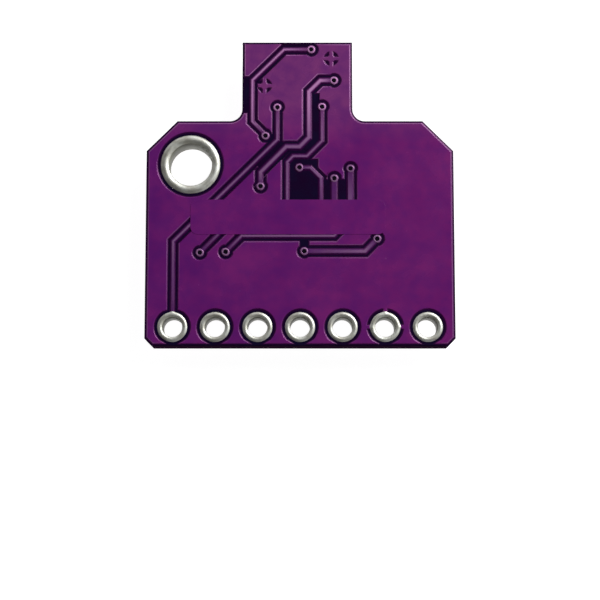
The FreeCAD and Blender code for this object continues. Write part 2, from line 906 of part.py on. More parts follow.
def make_printed_field():
    """A bare field of ink on the rear face, over the tracks that it crosses."""
    body = new_body("printed_field")
    shoulder = "board_tall / 2 - tab_tall"
    top = f"{shoulder} - screw_from_top - screw_pad / 2 - field_clearance"
    edges = rectangle(
        "field_shift - field_wide / 2",
        "field_shift + field_wide / 2",
        f"{top} - field_tall",
        top,
    )
    sketch = profile(body, "field_lines", "XY_Plane", edges)
    ink = pad(body, "field_ink", sketch, "ink_thick")
    corners = [(number(x), number(y)) for x, y in edges]
    found = upright_edges(ink, corners)
    dress(body, "Fillet", "field_corners", ink, found, "Radius", "field_round")
    place(body, ("0", "0", "rear_z + foil_thick"))
    named("rear_printed_field", body)


# The sensor on the tab


def sensor_block(name, wide, low, tall):
    """A square block centred on the sensor's middle."""
    corner = (
        f"tab_shift - ({wide}) / 2",
        f"board_tall / 2 - sensor_from_top - ({wide}) / 2",
        low,
    )
    return cuboid(name, corner, (wide, wide, tall))


def make_lid():
    """A drawn metal lid, open towards the board, with an air hole in its top."""
    wide = "sensor_wide - 2 * lid_margin"
    tall = "sensor_tall - sensor_base"
    body = sensor_block("sensor_lid", wide, "0", tall)
    document.recompute()
    edges = body.Tip.Shape.Edges
    corners = [f"Edge{i + 1}" for i, edge in enumerate(edges) if edge.BoundBox.ZLength > 1e-6]
    dress(body, "Fillet", "lid_corners", body.Tip, corners, "Radius", "lid_round")
    hollow = body.newObject("PartDesign::SubtractiveBox", "lid_hollow")
    inner = "sensor_wide - 2 * lid_margin - 2 * lid_wall"
    for prop, text in zip(("Length", "Width", "Height"), (inner, inner, tall)):
        bind(hollow, prop, text)
    for axis in "xyz":
        hollow.setExpression("AttachmentOffset.Base." + axis, tied("lid_wall"))
    hollow.AttachmentSupport = [(origin_part(body, "XY_Plane"), "")]
    hollow.MapMode = "FlatFace"
    document.recompute()
    middle = f"({wide}) / 2 + vent_offset"
    vent = circle_sketch(body, "vent_circle", middle, middle, "vent_bore / 2")
    hole = body.newObject("PartDesign::Pocket", "vent")
    hole.Profile = vent
    hole.Type = "Length"
    hole.Reversed = True
    bind(hole, "Length", "2 * lid_wall")
    document.recompute()
    named("sensor_lid", body)


def make_sensor():
    make_lid()
    base = sensor_block(
        "sensor_base", "sensor_wide", "sensor_tall - sensor_base", "sensor_base"
    )
    named("sensor_base", base)
    readout_low = "sensor_tall - sensor_base - readout_tall"
    readout = sensor_block("readout_die", "readout_wide", readout_low, "readout_tall")
    named("sensor_readout_die", readout)
    sensing_low = "sensor_tall - sensor_base - readout_tall - sensing_tall"
    sensing = sensor_block("sensing_die", "sensing_wide", sensing_low, "sensing_tall")
    named("sensor_pressure_die", sensing)
    low, high = number("sensor_tall"), number("front_z - foil_thick")
    joints = [foil(tile(*place), low, high) for place in port_places().values()]
    set_piece("sensor_solder_joints", Part.makeCompound(joints))


# Three-lead packages: the regulator and the line protector


def package_body(label, centre):
    """A moulded body with bevelled edges above and below its leads."""
    feet = "front_z - foil_thick - foot_joint"
    corner = (
        f"{centre[0]} - outline_long / 2",
        f"{centre[1]} - outline_wide / 2",
        feet + " - outline_tall",
    )
    size = ("outline_long", "outline_wide", "outline_tall - outline_lift")
    body = cuboid(label, corner, size)
    document.recompute()
    block = body.Tip
    flat = []
    for i, edge in enumerate(block.Shape.Edges):
        if edge.BoundBox.ZLength < 1e-6:
            flat.append(f"Edge{i + 1}")
    dress(body, "Chamfer", label + "_bevels", block, flat, "Size", "outline_draft")
    named(label, body)


def lead(foot, side, feet_z):
    """A gull-wing lead from the body's side down to its foot on the pad."""
    thick, wide = number("lead_thick"), number("lead_wide")
    wall, tip = number("outline_wide / 2"), number("outline_span / 2")
    heel = tip - number("foot_long")
    knee = (wall + heel) / 2
    level = feet_z - number("(outline_tall + outline_lift) / 2")
    section = [
        (wall, level - thick / 2),
        (knee + thick, level - thick / 2),
        (heel + thick, feet_z - thick),
        (tip, feet_z - thick),
        (tip, feet_z),
        (heel, feet_z),
        (knee, level + thick / 2),
        (wall, level + thick / 2),
    ]
    middle = foot[1] - side * number("lead_pad_ring")
    left = foot[0] - wide / 2
    loop = [FreeCAD.Vector(left, middle + side * u, z) for u, z in section]
    face = Part.Face(Part.makePolygon(loop + loop[:1]))
    return face.extrude(FreeCAD.Vector(wide, 0, 0))


def foot_solder(foot, side):
    """The film under a foot, and the fillet at its toe."""
    pad_z = number("front_z - foil_thick")
    film = number("foot_joint")
    middle = foot[1] - side * number("lead_pad_ring")
    tip, heel = number("outline_span / 2"), number("outline_span / 2 - foot_long")
    toe = number("lead_pad_ring + lead_pad_long / 2")
    rise = film + number("lead_thick")
    section = [
        (heel, pad_z),
        (toe, pad_z),
        (tip + film, pad_z - rise),
        (tip, pad_z - rise),
        (tip, pad_z - film),
        (heel, pad_z - film),
    ]
    half = number("lead_wide / 2")
    loop = [FreeCAD.Vector(foot[0] - half, middle + side * u, z) for u, z in section]
    face = Part.Face(Part.makePolygon(loop + loop[:1]))
    return face.extrude(FreeCAD.Vector(2 * half, 0, 0))


def make_package(label, centre, pair_side):
    package_body(label + "_body", centre)
    feet = foot_points(centre, pair_side)
    sides = [pair_side, pair_side, -pair_side]
    feet_z = number("front_z - foil_thick - foot_joint")
    leads = [lead(foot, side, feet_z) for foot, side in zip(feet, sides)]
    set_piece(label + "_leads", Part.makeCompound(leads))
    return [foot_solder(foot, side) for foot, side in zip(feet, sides)]


# Chip capacitors and resistors


def chip_block(name, chip, low_end, high_end, inset, top, bottom):
    """A block across a chip, between two places along it."""
    (x, y), upright = chip
    width = f"chip_wide - 2 * {inset}"
    along, across = (y, x) if upright else (x, y)
    start, side = f"{along} + {low_end}", f"{across} - ({width}) / 2"
    length = f"({high_end}) - ({low_end})"
    if upright:
        corner, size = (side, start, bottom), (width, length, f"({top}) - ({bottom})")
    else:
        corner, size = (start, side, bottom), (length, width, f"({top}) - ({bottom})")
    return cuboid(name, corner, size)


def make_chip(name, chip, tall):
    """One chip's body and its two metal ends, hung under the board."""
    top = "front_z - foil_thick - foot_joint"
    body_end = "chip_long / 2 - chip_cap"
    body = chip_block(
        name + "_core",
        chip,
        f"-({body_end})",
        body_end,
        "chip_skin",
        top + " - chip_skin",
        f"{top} - {tall} + chip_skin",
    )
    ends = [
        chip_block(
            name + "_low_end",
            chip,
            "-chip_long / 2",
            f"-({body_end})",
            "0",
            top,
            f"{top} - {tall}",
        ),
        chip_block(
            name + "_high_end",
            chip,
            body_end,
            "chip_long / 2",
            "0",
            top,
            f"{top} - {tall}",
        ),
    ]
    return body, ends


def make_glaze(name, chip):
    """The dark glaze on the side of a resistor that faces away from the board."""
    level = "front_z - foil_thick - foot_joint - resistor_tall + chip_skin"
    end = "chip_long / 2 - chip_cap"
    return chip_block(
        name + "_glaze", chip, f"-({end})", end, "chip_skin", level, level + " - glaze_thick"
    )


def end_solder(chip):
    """Solder under both ends of a chip, with a fillet up each end."""
    (x, y), upright = chip
    pad_z = number("front_z - foil_thick")
    film, rise = number("foot_joint"), number("fillet_rise")
    face_at, inner = number("chip_long / 2"), number("chip_long / 2 - chip_cap")
    outer = number("chip_pad_ring + chip_pad / 2")
    section = [
        (inner, pad_z),
        (outer, pad_z),
        (face_at + film, pad_z - film - rise),
        (face_at, pad_z - film - rise),
        (face_at, pad_z - film),
        (inner, pad_z - film),
    ]
    half = number("chip_wide / 2")
    solids = []
    for side in (-1, 1):
        if upright:
            loop = [FreeCAD.Vector(x - half, y + side * u, z) for u, z in section]
            sweep = FreeCAD.Vector(2 * half, 0, 0)
        else:
            loop = [FreeCAD.Vector(x + side * u, y - half, z) for u, z in section]
            sweep = FreeCAD.Vector(0, 2 * half, 0)
        face = Part.Face(Part.makePolygon(loop + loop[:1]))
        solids.append(face.extrude(sweep))
    return solids


def make_chips():
    """All chips, grouped by what they are made of. Returns their solder."""
    solder = []
    bodies, ends = [], []
    for name, chip in capacitors().items():
        body, pair = make_chip(name + "_capacitor", chip, "capacitor_tall")
        bodies.append(body)
        ends += pair
        solder += end_solder(chip)
    group("capacitor_bodies", bodies)
    bodies, glazes = [], []
    for name, chip in resistors().items():
        body, pair = make_chip(name + "_resistor", chip, "resistor_tall")
        bodies.append(body)
        glazes.append(make_glaze(name + "_resistor", chip))
        ends += pair
        solder += end_solder(chip)
    group("resistor_bodies", bodies)
    group("resistor_glazes", glazes)
    group("chip_end_caps", ends)
    return solder


def printed_bars():
    """Plain outlines printed round the parts of the component side."""
    line = number("ink_line")
    bars = []
    for centre in (regulator_at(), protector_at()):
        for side in (-1, 1):
            x = centre[0] + side * number("outline_long / 2 + ink_line")
            bars.append(tile((x, centre[1]), line, number("outline_wide")))
    clear = number("chip_wide / 2 + ink_line")
    length = number("chip_pad_ring")
    for (x, y), upright in list(capacitors().values()) + list(resistors().values()):
        for side in (-1, 1):
            if upright:
                bars.append(tile((x + side * clear, y), line, length))
            else:
                bars.append(tile((x, y + side * clear), length, line))
    ring = number("port_ring + port_long + ink_line")
    tick = number("port_pitch")
    for right in (-1, 1):
        for up in (-1, 1):
            corner = from_sensor(right * (ring - tick / 2), up * ring)
            bars.append(tile(corner, tick, line))
            rise = tick - line / 2
            corner = from_sensor(right * ring, up * (ring - line / 2 - rise / 2))
            bars.append(tile(corner, line, rise))
    return bars


def make_printed_outlines():
    """The outlines as flat strips of white ink on the copper's level."""
    high = number("front_z - foil_thick")
    low = high - number("ink_thick")
    bars = [foil(bar, low, high) for bar in printed_bars()]
    set_piece("front_printed_outlines", Part.makeCompound(bars))


def check_all():
    """Every object recomputed, and every piece a valid, filled shape."""
    document.recompute()
    failed = [o.Label for o in document.Objects if {"Invalid", "Error"} & set(o.State)]
    if failed:
        raise RuntimeError("not recomputed: " + ", ".join(failed))
    for node in nodes:
        shape = node.Shape
        if shape.isNull() or not shape.isValid() or not shape.Solids:
            raise RuntimeError("no valid solid: " + node.Label)


def write_parts():
    os.makedirs("parts", exist_ok=True)
    for node in nodes:
        node.Shape.exportStep(f"parts/{node.Label}.step")
        print(node.Label, len(node.Shape.Solids), round(node.Shape.Volume, 4))


fill_sheet()
blank = board_blank()
make_board(blank)
make_rear_copper(blank)
make_front_copper(blank)
make_collars()
make_printed_field()
make_sensor()
solder = make_package("regulator", regulator_at(), -1)
solder += make_package("line_protector", protector_at(), 1)
solder += make_chips()
set_piece("part_solder_joints", Part.makeCompound(solder))
make_printed_outlines()
check_all()
write_parts()
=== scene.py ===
# %% [markdown]
# # Dressing a pressure sensor module
# The module is a small purple circuit board, T-shaped, about 18 mm across. It lies
# with its parts underneath, so what shows is its rear: copper tracks under purple
# lacquer, seven plated header holes and one plated screw hole. The CAD model gives
# every piece its place and size. This lesson keeps them, and gives each piece its
# finish: a softly rounded lacquer film, domed solder, cut glass fibre and so on.

# %% Load the frame
import bmesh
import bpy
import json
import math
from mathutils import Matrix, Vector


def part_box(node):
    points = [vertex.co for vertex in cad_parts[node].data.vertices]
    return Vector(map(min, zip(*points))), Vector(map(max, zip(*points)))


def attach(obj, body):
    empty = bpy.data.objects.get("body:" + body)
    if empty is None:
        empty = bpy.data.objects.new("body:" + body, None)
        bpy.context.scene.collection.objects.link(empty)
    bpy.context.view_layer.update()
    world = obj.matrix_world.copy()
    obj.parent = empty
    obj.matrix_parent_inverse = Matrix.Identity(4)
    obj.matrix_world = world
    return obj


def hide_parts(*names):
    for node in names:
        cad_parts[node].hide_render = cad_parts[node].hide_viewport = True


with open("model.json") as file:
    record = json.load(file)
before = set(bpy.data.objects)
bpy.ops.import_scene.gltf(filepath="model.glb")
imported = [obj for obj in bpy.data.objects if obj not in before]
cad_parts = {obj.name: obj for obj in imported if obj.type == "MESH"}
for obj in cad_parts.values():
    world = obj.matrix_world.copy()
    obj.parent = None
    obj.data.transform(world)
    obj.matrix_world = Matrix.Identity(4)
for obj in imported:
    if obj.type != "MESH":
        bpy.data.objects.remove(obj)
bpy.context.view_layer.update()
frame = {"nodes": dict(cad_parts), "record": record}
MM = 0.001
print("nodes in the frame:", len(frame["nodes"]))

# %% [markdown]
# ## Measures that the frame gives
# Heights could be typed in, but then the looks would part from the model as soon as a
# size changed. So nothing is placed by eye: the heights of the laminate's two faces,
# the bores and the pads are read from the CAD nodes and from the record's mounts.

# %% Read the main measures
board_low, board_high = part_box("t_shaped_laminate")
rear_z = board_high.z
front_z = board_low.z
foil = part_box("rear_ground_copper")[1].z - rear_z
mounts = frame["record"]["mounts"]
print("laminate from", round(front_z / MM, 3), "to", round(rear_z / MM, 3), "mm")
print("copper foil", round(foil / MM, 4), "mm; mounts", len(mounts))

# %% [markdown]
# ## Camera
# The photograph looks almost straight down at the board, from a little below its
# lower edge, so that a thin line of the lower edge shows. A flat parallel view would
# lose the inner walls of the holes, so this is a long lens at a real distance. The
# board fills the upper half of the frame, so the camera aims at a point below it.

# %% Set up the camera
AIM_Y = -6.56 * MM
CAMERA_DISTANCE = 98 * MM
CAMERA_RISE = math.radians(82.3)
FRAME_WIDTH = 35.83 * MM
LENS_SENSOR = 36.0
CLIP_NEAR = 1 * MM
CLIP_FAR = 10.0


def make_camera():
    data = bpy.data.cameras.new("photo_camera")
    data.sensor_width = LENS_SENSOR
    data.lens = LENS_SENSOR * CAMERA_DISTANCE / FRAME_WIDTH
    data.clip_start = CLIP_NEAR
    data.clip_end = CLIP_FAR
    camera = bpy.data.objects.new("photo_camera", data)
    bpy.context.scene.collection.objects.link(camera)
    aim = Vector((0, AIM_Y, rear_z + foil))
    back = Vector((0, -math.cos(CAMERA_RISE), math.sin(CAMERA_RISE)))
    camera.location = aim + CAMERA_DISTANCE * back
    camera.rotation_euler = back.to_track_quat("Z", "Y").to_euler()
    bpy.context.scene.camera = camera
    return camera


camera = make_camera()
print("lens", round(camera.data.lens, 1), "mm")

# %% [markdown]
# ## Helpers for nodes
# Every material is a small net of nodes, and so is the room's light. Making each node
# by hand takes many lines, so `add_node` makes one with its settings, `wire` joins two,
# and `ramp` maps one range of values to another, which is the step used most.

# %% Node helpers
FULL = 1.0


def add_node(tree, kind, values=None, **settings):
    node = tree.nodes.new("ShaderNode" + kind)
    for name, setting in settings.items():
        setattr(node, name, setting)
    for name, value in (values or {}).items():
        node.inputs[name].default_value = value
    return node


def wire(tree, source, output, target, socket):
    tree.links.new(source.outputs[output], target.inputs[socket])


def ramp(tree, source, output, low, high, start=0.0, end=FULL, smooth=False):
    """Turn a value that goes from low to high into one that goes from start to end."""
    node = add_node(
        tree,
        "MapRange",
        {"From Min": low, "From Max": high, "To Min": start, "To Max": end},
        interpolation_type="SMOOTHSTEP" if smooth else "LINEAR",
    )
    wire(tree, source, output, node, "Value")
    return node


print("node helpers ready")

# %% [markdown]
# ## Light
# The highlights in the photograph sit on the flanks that face up and to the right, and
# the lower left flanks are dark. Several lamps could give that, but they would leave
# their own small reflections in the lacquer. So there is one soft key light at the
# upper right, and the room itself is bright on that side and dim on the other. Overhead
# the room is nearly black: flat lacquer mirrors that part and keeps its full colour,
# while every rounded edge still finds some light.

# %% Set up the lights
bpy.context.scene.view_settings.view_transform = "Standard"
ROOM_BRIGHT = 1.25
ROOM_DIM = 0.12
ROOM_BRIGHT_WAY = math.radians(48)
ROOM_CEILING = 0.01
CEILING_STARTS = 0.35
CEILING_FULL = 0.80
KEY_AZIMUTH = math.radians(42)
KEY_RISE = math.radians(38)
KEY_DISTANCE = 0.20
KEY_SIZE = 0.12
KEY_POWER = 0.50


def make_key_softbox():
    """A square area light that looks at the board's middle."""
    data = bpy.data.lights.new("key_softbox", "AREA")
    data.size = KEY_SIZE
    data.energy = KEY_POWER
    lamp = bpy.data.objects.new("key_softbox", data)
    bpy.context.scene.collection.objects.link(lamp)
    level = math.cos(KEY_RISE)
    way = Vector(
        (level * math.cos(KEY_AZIMUTH), level * math.sin(KEY_AZIMUTH), math.sin(KEY_RISE))
    )
    lamp.location = KEY_DISTANCE * way
    lamp.rotation_euler = way.to_track_quat("Z", "Y").to_euler()


def make_room():
    """White light all round, stronger on one side and weaker towards the ceiling."""
    world = bpy.data.worlds.new("soft_room")
    world.use_nodes = True
    tree = world.node_tree
    sky = tree.nodes["Background"]
    sky.inputs["Color"].default_value = (1, 1, 1, 1)
    way = add_node(tree, "TexCoord")
    split = add_node(tree, "SeparateXYZ")
    wire(tree, way, "Generated", split, "Vector")
    fade = ramp(tree, split, "Z", CEILING_STARTS, CEILING_FULL, 1.0, ROOM_CEILING, smooth=True)
    bright_way = (math.cos(ROOM_BRIGHT_WAY), math.sin(ROOM_BRIGHT_WAY), 0)
    toward = add_node(tree, "VectorMath", {1: bright_way}, operation="DOT_PRODUCT")
    wire(tree, way, "Generated", toward, 0)
    sides = ramp(tree, toward, "Value", -1.0, 1.0, ROOM_DIM, ROOM_BRIGHT)
    both = add_node(tree, "Math", operation="MULTIPLY")
    wire(tree, fade, "Result", both, 0)
    wire(tree, sides, "Result", both, 1)
    wire(tree, both, "Value", sky, "Strength")
    bpy.context.scene.world = world


make_room()
make_key_softbox()
print("room and key light ready")

# %% [markdown]
# ## Helpers for colours and materials
# Colours are judged as they look on a screen, from 0 to 255, while the shader counts
# light linearly, so `paint` turns one into the other. `mix_paint` blends two colours by
# a mask. `new_material` sets the values that are the same all over a surface on the
# shader itself, and the nodes then change only what varies. `new_group` and `use_group`
# are for effects that several materials share.

# %% Colour helpers
SCREEN_STEPS = 255
TOE_END = 0.04045
TOE_SLOPE = 12.92
CURVE_LIFT = 0.055
CURVE_POWER = 2.4


def paint(red, green, blue):
    """A screen colour as the shader's linear one."""
    linear = []
    for level in (red, green, blue):
        share = level / SCREEN_STEPS
        toe = share / TOE_SLOPE
        curve = ((share + CURVE_LIFT) / (1 + CURVE_LIFT)) ** CURVE_POWER
        linear.append(toe if share <= TOE_END else curve)
    return (*linear, 1.0)


def mixed_colour(mix):
    return next(socket for socket in mix.outputs if socket.type == "RGBA")


def mix_paint(tree, mask, mask_output, first, second):
    """A colour mixed from two, each a painted colour or another mix."""
    mix = add_node(tree, "Mix", data_type="RGBA")
    colours = [socket for socket in mix.inputs if socket.type == "RGBA"]
    for socket, colour in zip(colours, (first, second)):
        if isinstance(colour, tuple):
            socket.default_value = colour
        else:
            tree.links.new(mixed_colour(colour), socket)
    tree.links.new(mask.outputs[mask_output], mix.inputs[0])
    return mix


print("grey 128 is", round(paint(128, 128, 128)[0], 3), "in linear light")

# %% Material helpers
COAT_ROUGHNESS = 0.1


def new_material(name, roughness, metallic=0.0, coat=0.0, specular=0.5):
    """A material with only its shader, and that shader's uniform values set."""
    material = bpy.data.materials.new(name)
    material.use_nodes = True
    tree = material.node_tree
    shader = tree.nodes["Principled BSDF"]
    shader.inputs["Roughness"].default_value = roughness
    shader.inputs["Metallic"].default_value = metallic
    shader.inputs["Coat Weight"].default_value = coat
    shader.inputs["Coat Roughness"].default_value = COAT_ROUGHNESS
    shader.inputs["Specular IOR Level"].default_value = specular
    return material, tree, shader


def new_group(name, inputs, outputs):
    """An empty node group with named number sockets."""
    tree = bpy.data.node_groups.new(name, "ShaderNodeTree")
    for socket, value in inputs.items():
        made = tree.interface.new_socket(socket, in_out="INPUT", socket_type="NodeSocketFloat")
        made.default_value = value
    for socket in outputs:
        tree.interface.new_socket(socket, in_out="OUTPUT", socket_type="NodeSocketFloat")
    source = tree.nodes.new("NodeGroupInput")
    target = tree.nodes.new("NodeGroupOutput")
    return tree, source, target


def use_group(tree, group, values):
    node = add_node(tree, "Group", node_tree=group)
    for name, value in values.items():
        node.inputs[name].default_value = value
    return node


def scaled(tree, source, output, factor):
    """A mask made weaker."""
    times = add_node(tree, "Math", {1: factor}, operation="MULTIPLY")
    wire(tree, source, output, times, 0)
    return times


def bump(tree, shader, source, output, distance):
    """Fine relief on a surface, as high as distance in metres."""
    relief = add_node(tree, "Bump", {"Strength": FULL, "Distance": distance})
    wire(tree, source, output, relief, "Height")
    wire(tree, relief, "Normal", shader, "Normal")


def vary_roughness(tree, shader, source, output, low, high):
    spread = ramp(tree, source, output, 0.0, FULL, low, high)
    wire(tree, spread, "Result", shader, "Roughness")


print("material helpers ready")

# %% [markdown]
# ## Unevenness that several finishes share
# Lacquer, solder and moulded plastic all have slow patches, fine grain and a few
# specks. Each material could have its own noise, but one node group gives the three as
# masks, from noise on the object's own coordinates, so that the pattern stays put on
# the piece. Each material sets how large its patches and grain are. The patches fade
# smoothly, because a plain ramp would leave a visible contour where it ends.

# %% Build the shared unevenness
PATCHES_PER_METRE = 380.0
GRAIN_PER_METRE = 9000.0
SPECKS_PER_METRE = 1500.0
PATCH_LOW, PATCH_HIGH = 0.28, 0.72
SPECK_RIM, SPECK_CORE = 0.09, 0.03
SPECK_RARE, SPECK_SURE = 0.86, 0.93


def make_unevenness():
    tree, source, target = new_group(
        "unevenness",
        {
            "Patch Scale": PATCHES_PER_METRE,
            "Grain Scale": GRAIN_PER_METRE,
            "Speck Scale": SPECKS_PER_METRE,
        },
        ["Patches", "Grain", "Specks"],
    )
    place = add_node(tree, "TexCoord")
    patches = add_node(tree, "TexNoise", {"Detail": 3.0, "Roughness": 0.55})
    wire(tree, place, "Object", patches, "Vector")
    wire(tree, source, "Patch Scale", patches, "Scale")
    spread = ramp(tree, patches, "Fac", PATCH_LOW, PATCH_HIGH, smooth=True)
    wire(tree, spread, "Result", target, "Patches")
    grain = add_node(tree, "TexNoise", {"Detail": 2.0})
    wire(tree, place, "Object", grain, "Vector")
    wire(tree, source, "Grain Scale", grain, "Scale")
    wire(tree, grain, "Fac", target, "Grain")
    cells = add_node(tree, "TexVoronoi")
    wire(tree, place, "Object", cells, "Vector")
    wire(tree, source, "Speck Scale", cells, "Scale")
    dots = ramp(tree, cells, "Distance", SPECK_RIM, SPECK_CORE)
    rare = ramp(tree, cells, "Color", SPECK_RARE, SPECK_SURE)
    both = add_node(tree, "Math", operation="MULTIPLY")
    wire(tree, dots, "Result", both, 0)
    wire(tree, rare, "Result", both, 1)
    wire(tree, both, "Value", target, "Specks")
    return tree


unevenness = make_unevenness()
print("group:", unevenness.name)

# %% [markdown]
# ## Colour shift across the board
# The colour is bluer on the board's left and a warmer magenta on its right, and the tab is pinker
# than the rest. Light could do a part of that, but it would change with every view. So this group
# turns the place on the board into two masks, from object coordinates, and the lacquers shift
# their colour by them.

# %% Build the drift
half_board = (board_high.x - board_low.x) / 2
TAB_REACH = 5 * MM
TAB_FADE = 2.5 * MM
tab_foot = board_high.y - TAB_REACH


def make_drift():
    tree, _, target = new_group("board_drift", {}, ["Right", "Tab"])
    place = add_node(tree, "TexCoord")
    split = add_node(tree, "SeparateXYZ")
    wire(tree, place, "Object", split, "Vector")
    right = ramp(tree, split, "X", -half_board, half_board)
    wire(tree, right, "Result", target, "Right")
    tab = ramp(tree, split, "Y", tab_foot - TAB_FADE / 2, tab_foot + TAB_FADE / 2)
    wire(tree, tab, "Result", target, "Tab")
    return tree


board_drift = make_drift()
print("group:", board_drift.name)

# %% [markdown]
# ## Purple lacquer over copper
# At the foot of the copper, in the corner where the lacquer is thickest, the colour is darkened as
# painted shade, and along the copper's rounded edge a lighter line is painted as a highlight. A
# mask from the shape's sharpness could find those places, but it would find every other edge too.
# So the meshes below carry them as two attributes, one for the painted shade and one for the
# painted highlight, and the material follows each track's own edge. Tracks look lighter than the
# wide ground copper because their painted highlight runs along their middle. Bluish mottling, the
# tab's pink and a few specks go over the base colour, and even the reflections are tinted, because
# they come from under a coloured film.

# %% Lacquer materials over copper
POUR_DARK = paint(90, 22, 98)
POUR_LIGHT = paint(108, 29, 103)
POUR_WARM = paint(110, 27, 97)
TAB_PINK = paint(122, 62, 114)
# Painted highlight colours for the copper's rounded edges and the tracks' middles, lighter on the
# tab.
HIGHLIGHT_PINK = paint(124, 86, 126)
HIGHLIGHT_TAB_PINK = paint(178, 124, 174)
# Painted shade at the foot of the copper and over the skirt.
PAINTED_FOOT_SHADE = paint(46, 3, 52)
TRACK_DARK = paint(74, 32, 82)
TRACK_LIGHT = paint(86, 42, 92)
# Painted highlight of the via rings.
VIA_GLINT_PINK = paint(186, 150, 180)
SPECK_PINK = paint(190, 130, 190)
MOTTLE_BLUE = paint(72, 22, 100)
MOTTLES_PER_METRE = 1400.0
MOTTLE_SHARE = 0.4
TAB_SHARE = 0.5
GLINT_PINK = (1.0, 0.5, 0.92, 1.0)
LACQUER_GLOSS = (0.22, 0.3)
LACQUER_RELIEF = 0.4e-6


def lacquer_material(name, dark, light, warm_share, highlight_share, speck_share, specular):
    material, tree, shader = new_material(name, LACQUER_GLOSS[1], specular=specular)
    shader.inputs["Specular Tint"].default_value = GLINT_PINK
    uneven = use_group(tree, unevenness, {})
    mottle = use_group(tree, unevenness, {"Patch Scale": MOTTLES_PER_METRE})
    drift = use_group(tree, board_drift, {})
    body = mix_paint(tree, uneven, "Patches", dark, light)
    warm = scaled(tree, drift, "Right", warm_share)
    body = mix_paint(tree, warm, "Value", body, POUR_WARM)
    tab = scaled(tree, drift, "Tab", TAB_SHARE)
    body = mix_paint(tree, tab, "Value", body, TAB_PINK)
    blue = scaled(tree, mottle, "Patches", MOTTLE_SHARE)
    body = mix_paint(tree, blue, "Value", body, MOTTLE_BLUE)
    specks = scaled(tree, uneven, "Specks", speck_share)
    body = mix_paint(tree, specks, "Value", body, SPECK_PINK)
    # The painted highlight along the copper's rounded edges, read from a mesh attribute.
    painted_highlight = add_node(tree, "Attribute", attribute_name="painted_highlight")
    highlight_mask = scaled(tree, painted_highlight, "Fac", highlight_share)
    highlight_paint = mix_paint(tree, drift, "Tab", HIGHLIGHT_PINK, HIGHLIGHT_TAB_PINK)
    body = mix_paint(tree, highlight_mask, "Value", body, highlight_paint)
    # The painted shade at the foot of the copper, read from a mesh attribute.
    painted_shade = add_node(tree, "Attribute", attribute_name="painted_shade")
    body = mix_paint(tree, painted_shade, "Fac", body, PAINTED_FOOT_SHADE)
    tree.links.new(mixed_colour(body), shader.inputs["Base Color"])
    vary_roughness(tree, shader, uneven, "Patches", *LACQUER_GLOSS)
    bump(tree, shader, uneven, "Grain", LACQUER_RELIEF)
    return material


print("reflections are tinted", GLINT_PINK[:3])

# %% Make the four lacquers
pour_lacquer = lacquer_material(
    "pour_lacquer", POUR_DARK, POUR_LIGHT,
    warm_share=0.45, highlight_share=0.75, speck_share=0.6, specular=0.4,
)
track_lacquer = lacquer_material(
    "track_lacquer", TRACK_DARK, TRACK_LIGHT,
    warm_share=0.1, highlight_share=0.9, speck_share=0.2, specular=0.22,
)
# The via rings' light pink is a painted highlight.
via_lacquer = lacquer_material(
    "via_lacquer", TRACK_LIGHT, VIA_GLINT_PINK,
    warm_share=0.0, highlight_share=0.8, speck_share=0.0, specular=0.4,
)
field_ink = lacquer_material(
    "field_ink", POUR_DARK, POUR_LIGHT,
    warm_share=0.3, highlight_share=0.25, speck_share=0.15, specular=0.25,
)
print("lacquers ready")

# %% [markdown]
# ## Lacquer over bare laminate, and the routed edge
# Where the copper is etched away the lacquer lies on dark fibreglass, almost black with
# a navy cast in the wide bare windows. The board's side was cut with a router, which
# leaves dull brown-purple fibre in thin layers that mirror nothing. One material could
# tell the two apart by the surface's slope, but two are plainer: a glossy one for the
# faces and a dead matt one for the side, whose noise is squeezed in height so that it
# looks like layers.

# %% Laminate materials
GAP_PURPLE = paint(22, 4, 34)
WINDOW_NAVY = paint(8, 6, 36)
FACE_PATCHES = 700.0
FACE_GLOSS = (0.24, 0.34)
FACE_SPECULAR = 0.2
EDGE_DARK = paint(20, 8, 24)
EDGE_FIBRE = paint(50, 28, 50)
EDGE_LAYERS = 24000.0
EDGE_THREADS = 1500.0
EDGE_GLOSS = (0.8, 1.0)
EDGE_RELIEF = 4e-6
THREAD_LOW, THREAD_HIGH = 0.42, 0.7


def laminate_face():
    material, tree, shader = new_material(
        "laminate_lacquer", FACE_GLOSS[0], specular=FACE_SPECULAR
    )
    shader.inputs["Specular Tint"].default_value = GLINT_PINK
    uneven = use_group(tree, unevenness, {"Patch Scale": FACE_PATCHES})
    face = mix_paint(tree, uneven, "Patches", GAP_PURPLE, WINDOW_NAVY)
    tree.links.new(mixed_colour(face), shader.inputs["Base Color"])
    vary_roughness(tree, shader, uneven, "Patches", *FACE_GLOSS)
    bump(tree, shader, uneven, "Grain", LACQUER_RELIEF)
    return material


def laminate_side():
    material, tree, shader = new_material("routed_side", EDGE_GLOSS[0], specular=0.0)
    place = add_node(tree, "TexCoord")
    scale = (EDGE_THREADS, EDGE_THREADS, EDGE_LAYERS)
    squash = add_node(tree, "Mapping", {"Scale": scale})
    wire(tree, place, "Object", squash, "Vector")
    fibre = add_node(tree, "TexNoise", {"Scale": 1.0, "Detail": 3.0})
    wire(tree, squash, "Vector", fibre, "Vector")
    threads = ramp(tree, fibre, "Fac", THREAD_LOW, THREAD_HIGH)
    side = mix_paint(tree, threads, "Result", EDGE_DARK, EDGE_FIBRE)
    tree.links.new(mixed_colour(side), shader.inputs["Base Color"])
    vary_roughness(tree, shader, threads, "Result", *EDGE_GLOSS)
    bump(tree, shader, fibre, "Fac", EDGE_RELIEF)
    return material


laminate_lacquer = laminate_face()
routed_side = laminate_side()
print("laminate ready")
